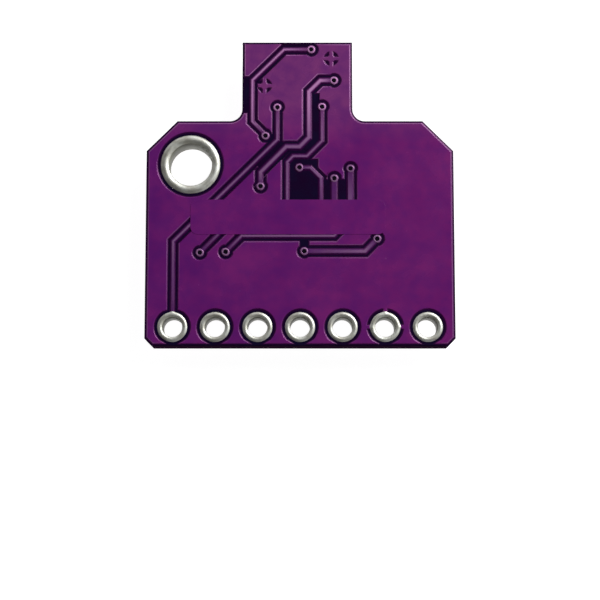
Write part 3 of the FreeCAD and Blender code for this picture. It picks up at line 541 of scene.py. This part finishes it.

# %% [markdown]
# ## Solder and metal
# Hot-air levelled solder is bright, slightly grey tin with soft waves left by the air knife and a
# few dull stains. A plain mirror would look like chrome, so a nearly white metal with waves in its
# bump and a mottled roughness gives it. The wall of a bore is rougher and duller, and it sees
# little light, so its darker grey is partly painted shade. The sensor's lid, the leads and the
# copper of the via barrels share the recipe with other values.

# %% Metal materials


def metal_material(name, bright, dull, low, high, wave, wave_scale, metallic=1.0):
    """A metal in two tones. Its roughness goes from low to high, and wave is its relief."""
    material, tree, shader = new_material(name, low, metallic=metallic)
    uneven = use_group(tree, unevenness, {"Patch Scale": wave_scale})
    body = mix_paint(tree, uneven, "Patches", paint(*bright), paint(*dull))
    tree.links.new(mixed_colour(body), shader.inputs["Base Color"])
    vary_roughness(tree, shader, uneven, "Grain", low, high)
    bump(tree, shader, uneven, "Patches", wave)
    return material


solder_metal = metal_material(
    "solder_metal", bright=(216, 218, 211), dull=(176, 174, 163),
    low=0.38, high=0.52, wave=4e-6, wave_scale=1500.0, metallic=0.78,
)
# The bore wall's darker grey is partly painted shade, partly its duller plating.
bore_wall_shade = metal_material(
    "bore_wall_shade", bright=(126, 126, 112), dull=(104, 104, 92),
    low=0.4, high=0.6, wave=2e-6, wave_scale=2200.0, metallic=0.0,
)
lid_metal = metal_material(
    "lid_metal", bright=(214, 214, 210), dull=(188, 188, 182),
    low=0.24, high=0.36, wave=1e-6, wave_scale=900.0,
)
lead_metal = metal_material(
    "lead_metal", bright=(206, 206, 202), dull=(176, 175, 168),
    low=0.22, high=0.4, wave=1e-6, wave_scale=3000.0,
)
bare_copper = metal_material(
    "bare_copper", bright=(196, 120, 84), dull=(168, 98, 68),
    low=0.3, high=0.42, wave=1e-6, wave_scale=2000.0,
)
print("metals ready")

# %% [markdown]
# ## Small parts' materials
# The chips, the moulded packages, the sensor's base, the white ink and the near-black painted
# shade in the vias' dimples are plain materials with grain. A flat colour would do from afar, but
# up close pressed ceramic and moulding are never quite even, so each has its own pair of colours,
# its own range of roughness and a fine relief. One function makes them all.

# %% Small part materials
PART_PATCHES = 2600.0
PART_GRAIN = 24000.0


def grained_material(name, first, second, low, high, relief=1e-6, coat=0.0, specular=0.5):
    """A dull material in two tones. Its roughness goes from low to high."""
    material, tree, shader = new_material(name, low, coat=coat, specular=specular)
    scales = {"Patch Scale": PART_PATCHES, "Grain Scale": PART_GRAIN}
    uneven = use_group(tree, unevenness, scales)
    body = mix_paint(tree, uneven, "Patches", paint(*first), paint(*second))
    tree.links.new(mixed_colour(body), shader.inputs["Base Color"])
    vary_roughness(tree, shader, uneven, "Grain", low, high)
    bump(tree, shader, uneven, "Grain", relief)
    return material


# Near-black painted shade for the dimples of the vias.
via_hole_shade = grained_material(
    "via_hole_shade", first=(7, 2, 12), second=(14, 5, 22), low=0.7, high=0.9, specular=0.04
)
white_ink = grained_material(
    "white_ink", first=(226, 226, 224), second=(208, 206, 208), low=0.5, high=0.7, relief=2e-6
)
moulding = grained_material(
    "moulding", first=(24, 24, 26), second=(34, 34, 35), low=0.5, high=0.68, relief=3e-6
)
capacitor_body = grained_material(
    "capacitor_body", first=(160, 122, 84), second=(140, 104, 70), low=0.42, high=0.6, relief=2e-6
)
resistor_body = grained_material(
    "resistor_body", first=(228, 226, 218), second=(206, 204, 196), low=0.45, high=0.6, relief=2e-6
)
resistor_glaze = grained_material(
    "resistor_glaze", first=(18, 18, 21), second=(28, 27, 30), low=0.2, high=0.34, coat=0.5
)
silicon = grained_material(
    "silicon", first=(92, 96, 108), second=(70, 74, 88), low=0.14, high=0.24, relief=0.5e-6
)
sensor_laminate = grained_material(
    "sensor_laminate", first=(34, 58, 40), second=(26, 46, 33), low=0.36, high=0.5, coat=0.2
)
print("small part materials ready")

# %% [markdown]
# ## Helpers for pieces
# A CAD node arrives as loose triangles. To work on its shape, a copy is merged at its doubles.
# `finish_piece` makes the object, gives it its materials, says which body carries it and hides the
# nodes that it stands for. A node whose shape is good as it is needs no copy: `dress` only gives
# it a finish.

# %% Piece helpers
MERGE_WITHIN = 0.2e-6


def merged_copy(node):
    """A node's mesh as one skin."""
    mesh = bmesh.new()
    mesh.from_mesh(frame["nodes"][node].data)
    bmesh.ops.remove_doubles(mesh, verts=mesh.verts, dist=MERGE_WITHIN)
    mesh.normal_update()
    return mesh


def finish_piece(mesh, name, materials, nodes=(), smooth_angle=None):
    data = bpy.data.meshes.new(name)
    mesh.to_mesh(data)
    mesh.free()
    for material in materials:
        data.materials.append(material)
    if smooth_angle is not None:
        data.shade_smooth()
        data.set_sharp_from_angle(angle=smooth_angle)
    piece = bpy.data.objects.new(name, data)
    bpy.context.scene.collection.objects.link(piece)
    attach(piece, "root")
    if nodes:
        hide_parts(*nodes)
    return piece


def dress(node, material):
    """A node that keeps its shape and only gets a finish."""
    data = frame["nodes"][node].data
    data.materials.clear()
    data.materials.append(material)


print("piece helpers ready")

# %% [markdown]
# ## Where the round things are
# The CAD model etches the clearances round its holes and vias as many-sided shapes, to
# keep the solids light. Up close a real one is a circle. So the middles of all the
# holes and vias are found once, with the radii that the copper has round them, and the
# copies of the copper below are rounded to those circles. The holes' middles come from
# the mounts, and the vias' from the separate barrels in one node.

# %% Find the holes and vias
PAD_GAP = 0.2 * MM
VIA_LAND = 0.25 * MM


def via_centres():
    """The middle of each separate barrel in the barrels' node."""
    mesh = merged_copy("via_barrels")
    left = set(mesh.verts)
    centres = []
    while left:
        group = [left.pop()]
        for vert in group:
            for edge in vert.link_edges:
                other = edge.other_vert(vert)
                if other in left:
                    left.discard(other)
                    group.append(other)
        low = [min(vert.co[axis] for vert in group) for axis in range(2)]
        high = [max(vert.co[axis] for vert in group) for axis in range(2)]
        centres.append(Vector(((low[0] + high[0]) / 2, (low[1] + high[1]) / 2, 0)))
    mesh.free()
    return sorted(centres, key=lambda point: (point.x, point.y))


def plated_holes():
    """Name, plating node, middle, bore and pad radius of each hole that a mount states."""
    holes = []
    for mount in mounts:
        node = mount["name"].replace("hole", "hole_plating")
        centre = Vector((*mount["pos_m"][:2], 0))
        bore = mount["dims"]["r_mm"] * MM
        holes.append((mount["name"], node, centre, bore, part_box(node)[1].x - centre.x))
    return holes


vias = via_centres()
holes = plated_holes()
round_places = [(centre.xy, (VIA_LAND, VIA_LAND + PAD_GAP)) for centre in vias]
round_places += [(centre.xy, (pad + PAD_GAP,)) for _, _, centre, _, pad in holes]
print("holes:", len(holes), "and vias:", len(vias))

# %% [markdown]
# ## Lacquered copper, first step: a clean outline
# Etched foil has square edges, and the lacquer that runs over it rounds them off. A
# Bevel modifier could round them, but it fails on outlines with hundreds of short
# edges. So the copy's outer face is worked on by hand, and it needs a clean outline
# first. The short chords of each clearance are cut and pushed out onto their circle,
# and the flat face is filled afresh with well-shaped triangles.

# %% Fill the outer face and round its arcs
ON_CIRCLE = 1.5e-6
ARC_CUTS = 3
FLAT_NORMAL = 0.9


def outer_faces(mesh, side):
    """The faces that look up, or down where side is -1."""
    return [face for face in mesh.faces if face.normal.z * side > FLAT_NORMAL]


def border_edges(mesh, faces):
    """The edges round some faces, in the mesh's own order, which is the same each run."""
    inside = set(faces)
    return [
        edge
        for edge in mesh.edges
        if 0 < sum(face in inside for face in edge.link_faces) < len(edge.link_faces)
    ]


def fill_afresh(mesh, side, faces):
    """Take a flat region out and fill it again with well-shaped triangles."""
    border = border_edges(mesh, faces)
    bmesh.ops.delete(mesh, geom=faces, context="FACES_KEEP_BOUNDARY")
    filled = bmesh.ops.triangle_fill(mesh, use_beauty=True, edges=border)
    fresh = [item for item in filled["geom"] if isinstance(item, bmesh.types.BMFace)]
    mesh.normal_update()
    turned = [face for face in fresh if face.normal.z * side < 0]
    bmesh.ops.reverse_faces(mesh, faces=turned)
    return fresh


def is_chord(edge, centre, radius):
    """Whether an edge is a short level chord of a circle."""
    first, second = edge.verts
    off = max(abs((vert.co.xy - centre).length - radius) for vert in edge.verts)
    level = abs(first.co.z - second.co.z) < ON_CIRCLE
    return level and off < ON_CIRCLE and ON_CIRCLE < (first.co.xy - second.co.xy).length < radius


def round_arcs(mesh):
    """Bring the short chords round each hole and via back onto their circles."""
    moved = 0
    for centre, radii in round_places:
        for radius in radii:
            chords = [edge for edge in mesh.edges if is_chord(edge, centre, radius)]
            if not chords:
                continue
            made = bmesh.ops.subdivide_edges(mesh, edges=chords, cuts=ARC_CUTS)
            for item in made["geom_inner"]:
                if isinstance(item, bmesh.types.BMVert):
                    way = item.co.xy - centre
                    item.co.xy = centre + way * (radius / way.length)
                    moved += 1
    return moved


print("each chord gets", ARC_CUTS, "more points")

# %% [markdown]
# ## Second step: room in the sharp corners
# Where a clearance's arc runs into a long straight edge at a sharp angle, the rings of
# the next step would cross, and the whole long edge would turn inside out. The rings
# could be made narrower, but then the flank would look sharp everywhere. So the arc's
# nearest points are welded into the corner until its next edge is long enough. Tiny
# spikes, left where two cuts of the CAD model nearly meet, are welded away too.

# %% Clear the sharp corners
SPIKE = math.radians(25)
SPIKE_EDGE = 0.15 * MM
LONG_EDGE = 0.6 * MM
SHARP_CORNER = math.radians(60)
ROOM_AT_CORNER = 1.2


def flat_border(mesh, side):
    """For each vertex round the flat region, its two neighbours on that border."""
    flat = [
        face
        for face in outer_faces(mesh, side)
        if max(abs(vert.co.z - face.verts[0].co.z) for vert in face.verts) < ON_CIRCLE
    ]
    neighbours = {}
    for edge in border_edges(mesh, flat):
        for vert in edge.verts:
            neighbours.setdefault(vert, []).append(edge.other_vert(vert))
    return {vert: ends for vert, ends in neighbours.items() if len(ends) == 2}


def points_to_weld(border, tip, inset):
    """The points at a corner that have to go, each with the point that it goes to."""
    near, far = sorted(border[tip], key=lambda vert: (vert.co - tip.co).length)
    along = (far.co - tip.co).xy
    if along.length < SPIKE_EDGE and (near.co - tip.co).xy.angle(along) < SPIKE:
        return {tip: near}
    if along.length < LONG_EDGE or (near.co - tip.co).length > LONG_EDGE / 2:
        return {}
    targets = {}
    last, step = tip, near
    while step in border:
        arm = (step.co - tip.co).xy
        angle = arm.angle(along)
        crossed = ROOM_AT_CORNER * inset / math.tan(angle / 2)
        if angle > SHARP_CORNER or not arm.length < crossed < LONG_EDGE:
            break
        targets[step] = tip
        onward = [vert for vert in border[step] if vert is not last]
        last, step = step, onward[0]
    return targets


def clear_sharp_corners(mesh, side, inset):
    """Clear the borders of both flat faces for rings as wide as inset."""
    welded = 0
    for face_side in (side, -side):
        border = flat_border(mesh, face_side)
        targets = {}
        for tip in border:
            targets.update(points_to_weld(border, tip, inset))
        if targets:
            bmesh.ops.weld_verts(mesh, targetmap=targets)
            welded += len(targets)
    mesh.normal_update()
    return welded


print("corners under", round(math.degrees(SHARP_CORNER)), "degrees get room")

# %% [markdown]
# ## Third step: rings that round the edge
# The outer face is lowered to the foot of the flank and then inset several times, and
# each ring is lifted a little less than the one before, which makes a rounded flank.
# The inset pushes the face's long thin triangles about, so the flat middle is filled afresh. A
# wide area of copper gets a flat top. A track is so narrow that its film is a ridge, and its
# painted highlight is lightest along its middle. The rings also carry the two attributes for the
# painted highlight and the painted shade that the lacquer material reads.

# %% Round the edge in rings
FLANK_FOOT = 0.022 * MM
# Each ring: its width, its lift, its painted highlight and its painted shade.
POUR_RINGS = [
    (0.022 * MM, 0.016 * MM, 0.2, 0.0),
    (0.018 * MM, 0.008 * MM, 0.8, 0.0),
    (0.016 * MM, 0.003 * MM, 0.9, 0.0),
    (0.016 * MM, 0.0, 0.0, 0.0),
]
TRACK_RINGS = [
    (0.030 * MM, 0.016 * MM, 0.0, 0.6),
    (0.022 * MM, 0.008 * MM, 0.1, 0.1),
    (0.026 * MM, 0.004 * MM, 0.5, 0.0),
    (0.032 * MM, 0.002 * MM, 1.0, 0.0),
]
NO_HIGHLIGHT_REACH = 0.08 * MM


def number_layer(mesh, name):
    """The mesh's own layer of numbers with this name, made if it isn't there."""
    return mesh.verts.layers.float.get(name) or mesh.verts.layers.float.new(name)


def ease_face(mesh, side, drop, rings):
    """Round the flat face that looks up, or down where side is -1, in rings."""
    painted_shade = number_layer(mesh, "painted_shade")
    painted_highlight = number_layer(mesh, "painted_highlight")
    faces = outer_faces(mesh, side)
    # The lowered rim gets the full painted shade; each ring then sets its own painted shade and
    # painted highlight.
    for vert in {vert for face in faces for vert in face.verts}:
        vert.co.z -= side * drop
        vert[painted_shade] = FULL
    for width, lift, light, shade in rings:
        bmesh.ops.inset_region(
            mesh, faces=faces, thickness=width, use_even_offset=True, use_boundary=True
        )
        for vert in {vert for face in faces for vert in face.verts}:
            vert.co.z += side * lift
            vert[painted_shade] = shade
            vert[painted_highlight] = light
    return len(fill_afresh(mesh, side, faces))


def quiet_round_edges(mesh):
    """No painted highlight on the copper round the holes and vias."""
    painted_highlight = number_layer(mesh, "painted_highlight")
    for vert in mesh.verts:
        for centre, radii in round_places:
            if (vert.co.xy - centre).length < radii[-1] + NO_HIGHLIGHT_REACH:
                vert[painted_highlight] = 0.0


print("rings over ground copper:", len(POUR_RINGS), "and over a track:", len(TRACK_RINGS))

# %% [markdown]
# ## Fourth step: a skirt over the laminate
# At the foot of the copper real lacquer fills the corner with a shallow hollow curve
# and thins out over the laminate. A separate film over the whole board could show
# that, but it would hide under the copper's own shape. So the upright walls are taken
# out, the rim is extruded outwards and down as a thin skirt, and the skirt turns back
# beneath to the kept underside, which closes the mesh.

# %% Lay the skirt
# Each ring of the skirt: its reach from the outline, and its height.
SKIRT_RINGS = [
    (0.025 * MM, 0.005 * MM),
    (0.055 * MM, 0.001 * MM),
    (0.0, 0.0),
]
SHARPEST_MITRE = 2.0
SAME_PLACE_DIGITS = 9


def place_key(vert):
    return vert.co.to_tuple(SAME_PLACE_DIGITS)


def rim_ways(rim):
    """For each vertex of a rim, the step that moves the rim outwards by one."""
    sides = {}
    for edge in rim:
        first, second = edge.verts
        along = (second.co - first.co).xy.normalized()
        out = Vector((along.y, -along.x))
        inner = edge.link_faces[0].calc_center_median().xy
        if out.dot(inner - first.co.xy) > 0:
            out.negate()
        sides.setdefault(first, []).append(out)
        sides.setdefault(second, []).append(out)
    ways = {}
    for vert, outs in sides.items():
        total = outs[0] + outs[-1]
        mitre = 2 / max(total.length, 2 / SHARPEST_MITRE)
        ways[vert] = total.normalized() * mitre
    return ways


def open_walls(mesh, side, level):
    """Take the upright walls out, which are told by their height. Gives the rim above."""
    wall_top = foil - FLANK_FOOT + ON_CIRCLE
    walls = []
    for face in mesh.faces:
        height = max((vert.co.z - level) * side for vert in face.verts)
        if ON_CIRCLE < height < wall_top:
            walls.append(face)
    bmesh.ops.delete(mesh, geom=walls, context="FACES_ONLY")
    above = level + side * ON_CIRCLE
    return [
        edge
        for edge in mesh.edges
        if edge.is_boundary and all((vert.co.z - above) * side > 0 for vert in edge.verts)
    ]


def lay_skirt(mesh, side, level):
    """Let the rim run out into a thin skirt that turns back to the underside."""
    rim = open_walls(mesh, side, level)
    painted_shade = number_layer(mesh, "painted_shade")
    painted_highlight = number_layer(mesh, "painted_highlight")
    paths = {place_key(vert): (vert.co.xy, way) for vert, way in rim_ways(rim).items()}
    for reach, height in SKIRT_RINGS:
        made = bmesh.ops.extrude_edge_only(mesh, edges=rim)
        rim = [item for item in made["geom"] if isinstance(item, bmesh.types.BMEdge)]
        moved = {}
        for vert in {vert for edge in rim for vert in edge.verts}:
            start, way = paths[place_key(vert)]
            vert.co.xy = start + way * reach
            vert.co.z = level + side * height
            # The skirt carries the full painted shade and no painted highlight.
            vert[painted_shade] = FULL
            vert[painted_highlight] = 0.0
            moved[place_key(vert)] = (start, way)
        paths = moved
    wires = [edge for edge in mesh.edges if edge.is_wire]
    bmesh.ops.delete(mesh, geom=wires, context="EDGES")
    bmesh.ops.remove_doubles(mesh, verts=mesh.verts, dist=MERGE_WITHIN)
    bmesh.ops.recalc_face_normals(mesh, faces=mesh.faces)


print("the skirt reaches", round(max(ring[0] for ring in SKIRT_RINGS) / MM, 3), "mm out")

# %% [markdown]
# ## The rear face's copper
# The four steps together make one piece of lacquered copper. The rear face has one
# ground copper and eight tracks, and the front face is done by the same function later,
# with its side turned. Each print says how many edges are left open, which has to be 0.

# %% Lacquer the rear copper
REAR_TRACKS = [
    "io_supply",
    "core_supply",
    "interrupt",
    "select",
    "data",
    "clock",
    "address",
    "link",
]


def lacquered_copy(node, side, rings):
    """A copper node under lacquer. side is 1 on the rear and -1 on the front."""
    mesh = merged_copy(node)
    moved = round_arcs(mesh)
    inset = sum(ring[0] for ring in rings)
    welded = clear_sharp_corners(mesh, side, inset)
    fill_afresh(mesh, side, outer_faces(mesh, side))
    ease_face(mesh, side, FLANK_FOOT, rings)
    lay_skirt(mesh, side, rear_z if side > 0 else front_z)
    quiet_round_edges(mesh)
    loose = sum(edge.is_boundary for edge in mesh.edges)
    print(node, "- arc points:", moved, "welded:", welded, "open edges:", loose)
    return mesh


def lacquer_copper(face, side, tracks):
    """The ground copper and the tracks of one face."""
    ground = f"{face}_ground_copper"
    mesh = lacquered_copy(ground, side, POUR_RINGS)
    finish_piece(mesh, f"{face}_ground_lacquered", [pour_lacquer], [ground])
    for name in tracks:
        node = f"{face}_{name}_track"
        mesh = lacquered_copy(node, side, TRACK_RINGS)
        finish_piece(mesh, node + "_lacquered", [track_lacquer], [node])


lacquer_copper("rear", 1, REAR_TRACKS)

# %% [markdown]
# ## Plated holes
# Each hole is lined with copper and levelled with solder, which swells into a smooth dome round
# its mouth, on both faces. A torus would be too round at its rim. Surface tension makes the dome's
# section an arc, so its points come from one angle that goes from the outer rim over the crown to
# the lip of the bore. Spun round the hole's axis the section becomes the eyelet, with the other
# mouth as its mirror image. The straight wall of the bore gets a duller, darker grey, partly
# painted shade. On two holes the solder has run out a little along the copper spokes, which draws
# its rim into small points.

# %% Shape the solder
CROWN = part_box("header_hole_plating_1")[1].z - rear_z
DOME_STEPS = 10
DOME_SWEEP = math.radians(50)
DOME_RISE = 0.22
POINT_REACH = 0.13 * MM
POINT_HALF_WIDTH = math.radians(14)
SOLDER_POINTS = {
    "header_eyelet_1": [math.radians(90)],
    "header_eyelet_6": [0.0, math.radians(90), math.radians(180)],
}


def eyelet_section(bore, pad):
    """Radius and height above the nearer face, from the rim to the lip."""
    middle = (bore + pad) / 2
    half = (pad - bore) / 2
    crown = min(CROWN, DOME_RISE * (pad - bore))
    points = []
    for step in range(DOME_STEPS + 1):
        turn = DOME_SWEEP * (1 - 2 * step / DOME_STEPS)
        reach = math.sin(turn) / math.sin(DOME_SWEEP)
        height = (math.cos(turn) - math.cos(DOME_SWEEP)) / (1 - math.cos(DOME_SWEEP))
        points.append((middle + half * reach, crown * height))
    return points


def pull_points(mesh, centre, bore, pad, ways):
    """Draw the solder's rim out a little towards each way, as it runs along a spoke."""
    for vert in mesh.verts:
        arm = vert.co.xy - centre.xy
        outer = max(0.0, (arm.length - bore) / (pad - bore))
        for way in ways:
            off = abs(math.remainder(math.atan2(arm.y, arm.x) - way, 2 * math.pi))
            if off < POINT_HALF_WIDTH:
                share = (1 - off / POINT_HALF_WIDTH) ** 2
                vert.co.xy += arm.normalized() * POINT_REACH * share * outer ** 3


print("the solder's crown is", round(CROWN / MM, 3), "mm over the laminate")

# %% Spin the plated holes
HOLE_STEPS = 72
WALL_WITHIN = 0.01 * MM
UPRIGHT_NORMAL = 0.2
SOLDER_SMOOTH = math.radians(70)


def spin_section(mesh, line, edges, centre, steps):
    """Spin a section once round an upright axis."""
    bmesh.ops.spin(
        mesh,
        geom=line + edges,
        cent=centre,
        axis=(0, 0, 1),
        angle=2 * math.pi,
        steps=steps,
        use_merge=True,
    )


def make_eyelet(name, node, centre, bore, pad):
    mesh = bmesh.new()
    rear = [Vector((r, 0, rear_z + z)) for r, z in eyelet_section(bore, pad)]
    front = [Vector((r, 0, front_z - z)) for r, z in eyelet_section(bore, pad)]
    line = [mesh.verts.new(centre + point) for point in rear + front[::-1]]
    edges = [mesh.edges.new(pair) for pair in zip(line, line[1:] + line[:1])]
    spin_section(mesh, line, edges, centre, HOLE_STEPS)
    bmesh.ops.remove_doubles(mesh, verts=mesh.verts, dist=MERGE_WITHIN)
    bmesh.ops.recalc_face_normals(mesh, faces=mesh.faces)
    pull_points(mesh, centre, bore, pad, SOLDER_POINTS.get(name, []))
    # Faces of the straight bore wall get the bore's darker grey, partly painted shade.
    for face in mesh.faces:
        middle = face.calc_center_median()
        inside = (middle.xy - centre.xy).length < bore + WALL_WITHIN
        upright = abs(face.normal.z) < UPRIGHT_NORMAL
        face.material_index = 1 if inside and upright else 0
    finish_piece(mesh, name, [solder_metal, bore_wall_shade], [node], SOLDER_SMOOTH)


for name, node, centre, bore, pad in holes:
    make_eyelet(name.replace("hole", "eyelet"), node, centre, bore, pad)
print("eyelets:", len(holes))

# %% [markdown]
# ## Vias
# A via is a small plated hole that takes a track to the other face. The lacquer covers its land
# and sags into the drilled hole, which leaves a raised ring with a dark dimple in it. Painted
# rings would be flat in a low view, so the ring is a spun section, and its light pink is a painted
# highlight all round it. The dimple is the inner part of the same spin, and its near-black
# material is painted shade for the hole. On the rear only the vias at a track's end show a ring:
# two lie flush in the ground copper, and two are under the printed field.

# %% Spin the via rings
VIA_STEPS = 24
# The section of a ring: radius, and height over the copper.
VIA_RING = [
    (0.240 * MM, 0.000 * MM),
    (0.205 * MM, 0.030 * MM),
    (0.170 * MM, 0.038 * MM),
    (0.140 * MM, 0.030 * MM),
    (0.110 * MM, 0.012 * MM),
    (0.050 * MM, 0.010 * MM),
    (0.0, 0.010 * MM),
]
DIMPLE_RADIUS = 0.125 * MM
VIA_SMOOTH = math.radians(60)


def make_via_rings(name, side, centres):
    """All via rings of one face as one piece."""
    level = rear_z + foil if side > 0 else front_z - foil
    mesh = bmesh.new()
    for centre in centres:
        line = []
        for radius, rise in VIA_RING:
            line.append(mesh.verts.new(centre + Vector((radius, 0, level + side * rise))))
        edges = [mesh.edges.new(pair) for pair in zip(line, line[1:])]
        spin_section(mesh, line, edges, centre, VIA_STEPS)
    bmesh.ops.remove_doubles(mesh, verts=mesh.verts, dist=MERGE_WITHIN)
    mesh.normal_update()
    turned = [face for face in mesh.faces if face.normal.z * side < 0]
    bmesh.ops.reverse_faces(mesh, faces=turned)
    # Every point of a via ring carries the full painted highlight.
    painted_highlight = number_layer(mesh, "painted_highlight")
    for vert in mesh.verts:
        vert[painted_highlight] = FULL
    # Faces in the dimple get the near-black painted shade of the hole.
    for face in mesh.faces:
        middle = face.calc_center_median()
        reach = min((middle.xy - centre.xy).length for centre in centres)
        face.material_index = 1 if reach < DIMPLE_RADIUS else 0
    finish_piece(mesh, name, [via_lacquer, via_hole_shade], smooth_angle=VIA_SMOOTH)


def under_field(centre):
    """Whether the printed field covers a via of the rear face."""
    low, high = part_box("rear_printed_field")
    return low.x < centre.x < high.x and low.y < centre.y < high.y


def has_track(centre):
    """Whether a track of the rear face ends at a via, rather than the ground copper."""
    for name in REAR_TRACKS:
        for vert in frame["nodes"][f"rear_{name}_track"].data.vertices:
            if (vert.co.xy - centre.xy).length < VIA_LAND + ON_CIRCLE:
                return True
    return False


rear_vias = [centre for centre in vias if has_track(centre) and not under_field(centre)]
make_via_rings("rear_via_rings", 1, rear_vias)
make_via_rings("front_via_rings", -1, vias)
print("vias:", len(vias), "of which", len(rear_vias), "show a ring on the rear")

# %% [markdown]
# ## The board and its printed field
# The laminate and the printed field keep their CAD shapes, but a real edge is never
# perfectly sharp, and it is the edge that catches the light. The board's faces are
# eased in two narrow rings, as the copper's were, because its outline has too many
# small edges for a bevel. The field is a plain plate, and its sharp edges are bevelled
# by a few thousandths of a millimetre.

# %% Ease the board and the field
BOARD_DROP = 0.03 * MM
BOARD_RINGS = [(0.02 * MM, 0.02 * MM, 0.0, 0.0), (0.03 * MM, 0.01 * MM, 0.0, 0.0)]
FIELD_BEVEL = 0.006 * MM
SHARP_EDGE = math.radians(30)
FLAT_WITHIN = math.radians(1)


def bevelled_copy(node, width, segments=2):
    """A merged copy with its flat faces whole and its sharp edges rounded."""
    mesh = merged_copy(node)
    bmesh.ops.dissolve_limit(
        mesh, angle_limit=FLAT_WITHIN, verts=mesh.verts, edges=mesh.edges
    )
    sharp = [
        edge
        for edge in mesh.edges
        if edge.is_manifold and edge.calc_face_angle(0) > SHARP_EDGE
    ]
    bmesh.ops.bevel(
        mesh,
        geom=sharp,
        offset=width,
        segments=segments,
        profile=0.5,
        affect="EDGES",
        clamp_overlap=True,
        material=-1,
    )
    mesh.normal_update()
    return mesh


mesh = merged_copy("t_shaped_laminate")
for side in (1, -1):
    print("board face filled afresh:", ease_face(mesh, side, BOARD_DROP, BOARD_RINGS))
for face in mesh.faces:
    face.material_index = 0 if abs(face.normal.z) > FLAT_NORMAL else 1
finish_piece(
    mesh, "lacquered_board", [laminate_lacquer, routed_side], ["t_shaped_laminate"]
)
mesh = bevelled_copy("rear_printed_field", FIELD_BEVEL)
finish_piece(mesh, "printed_field", [field_ink], ["rear_printed_field"])
print("board and field eased")

# %% [markdown]
# ## The component side
# The other face has the same lacquered copper, and the parts. They could be left as the
# CAD has them, since the board hides them in the photograph's view, but the module is
# looked at from all sides. So the copper is finished by rings as on the rear, and the
# lid, the moulded bodies, the leads and the chips get small bevels.

# %% Lacquer the front copper
FRONT_TRACKS = ["supply", "data", "clock", "select", "address", "interrupt", "input"]
lacquer_copper("front", -1, FRONT_TRACKS)

# %% Parts of the component side
PART_SMOOTH = math.radians(35)
# Each part: its node, material and slot, its bevel in millimetres, and the bevel's steps.
PARTS = [
    ("sensor_lid", lid_metal, "lid_metal", 0.06, 3),
    ("sensor_base", sensor_laminate, "sensor_laminate", 0.012, 1),
    ("regulator_body", moulding, "moulding", 0.03, 2),
    ("line_protector_body", moulding, "moulding", 0.03, 2),
    ("regulator_leads", lead_metal, "tinned_lead", 0.02, 2),
    ("line_protector_leads", lead_metal, "tinned_lead", 0.02, 2),
    ("capacitor_bodies", capacitor_body, "capacitor_ceramic", 0.03, 2),
    ("resistor_bodies", resistor_body, "resistor_ceramic", 0.02, 2),
    ("chip_end_caps", solder_metal, "solder", 0.045, 2),
]
for node, material, slot, width, segments in PARTS:
    mesh = bevelled_copy(node, width * MM, segments)
    finish_piece(mesh, node + "_finished", [material], [node], PART_SMOOTH)
print("finished parts:", len(PARTS))

# %% [markdown]
# ## Nodes that keep their own shape
# Some nodes are hidden inside the sensor or between the faces, or are already as thin
# and plain as the real thing. A copy would add nothing to them, so they keep their CAD
# mesh and get a finish.

# %% Dress the remaining nodes
FINISHES = {
    "via_barrels": bare_copper,
    "front_spare_contacts": solder_metal,
    "front_printed_outlines": white_ink,
    "sensor_readout_die": silicon,
    "sensor_pressure_die": silicon,
    "sensor_solder_joints": solder_metal,
    "resistor_glazes": resistor_glaze,
    "part_solder_joints": solder_metal,
}
for node, material in FINISHES.items():
    dress(node, material)
print("dressed nodes:", len(FINISHES))

# %% [markdown]
# ## Floor
# The board lies on a plain white sheet. Real product tables of this kind are lit from
# below too, so that nothing shows but the object, and so that its holes look white. A
# second lamp under a clear floor could do it, but a floor that glows a little itself is
# simpler and casts no pattern.

# %% Lay the floor
FLOOR_HALF = 0.6
FLOOR_GLOW = 0.95
FLOOR_WHITE = (paint(150, 150, 150), paint(146, 146, 147))
FLOOR_ROUGHNESS = 0.8
FLOOR_SCALES = {"Patch Scale": 12.0, "Grain Scale": 3000.0}


def make_floor():
    mesh = bmesh.new()
    bmesh.ops.create_grid(mesh, x_segments=1, y_segments=1, size=FLOOR_HALF)
    data = bpy.data.meshes.new("floor")
    mesh.to_mesh(data)
    mesh.free()
    material, tree, shader = new_material("white_sheet", FLOOR_ROUGHNESS)
    uneven = use_group(tree, unevenness, FLOOR_SCALES)
    body = mix_paint(tree, uneven, "Patches", *FLOOR_WHITE)
    tree.links.new(mixed_colour(body), shader.inputs["Base Color"])
    shader.inputs["Emission Color"].default_value = (1, 1, 1, 1)
    shader.inputs["Emission Strength"].default_value = FLOOR_GLOW
    data.materials.append(material)
    floor = bpy.data.objects.new("floor", data)
    bpy.context.scene.collection.objects.link(floor)


make_floor()
print("floor laid")
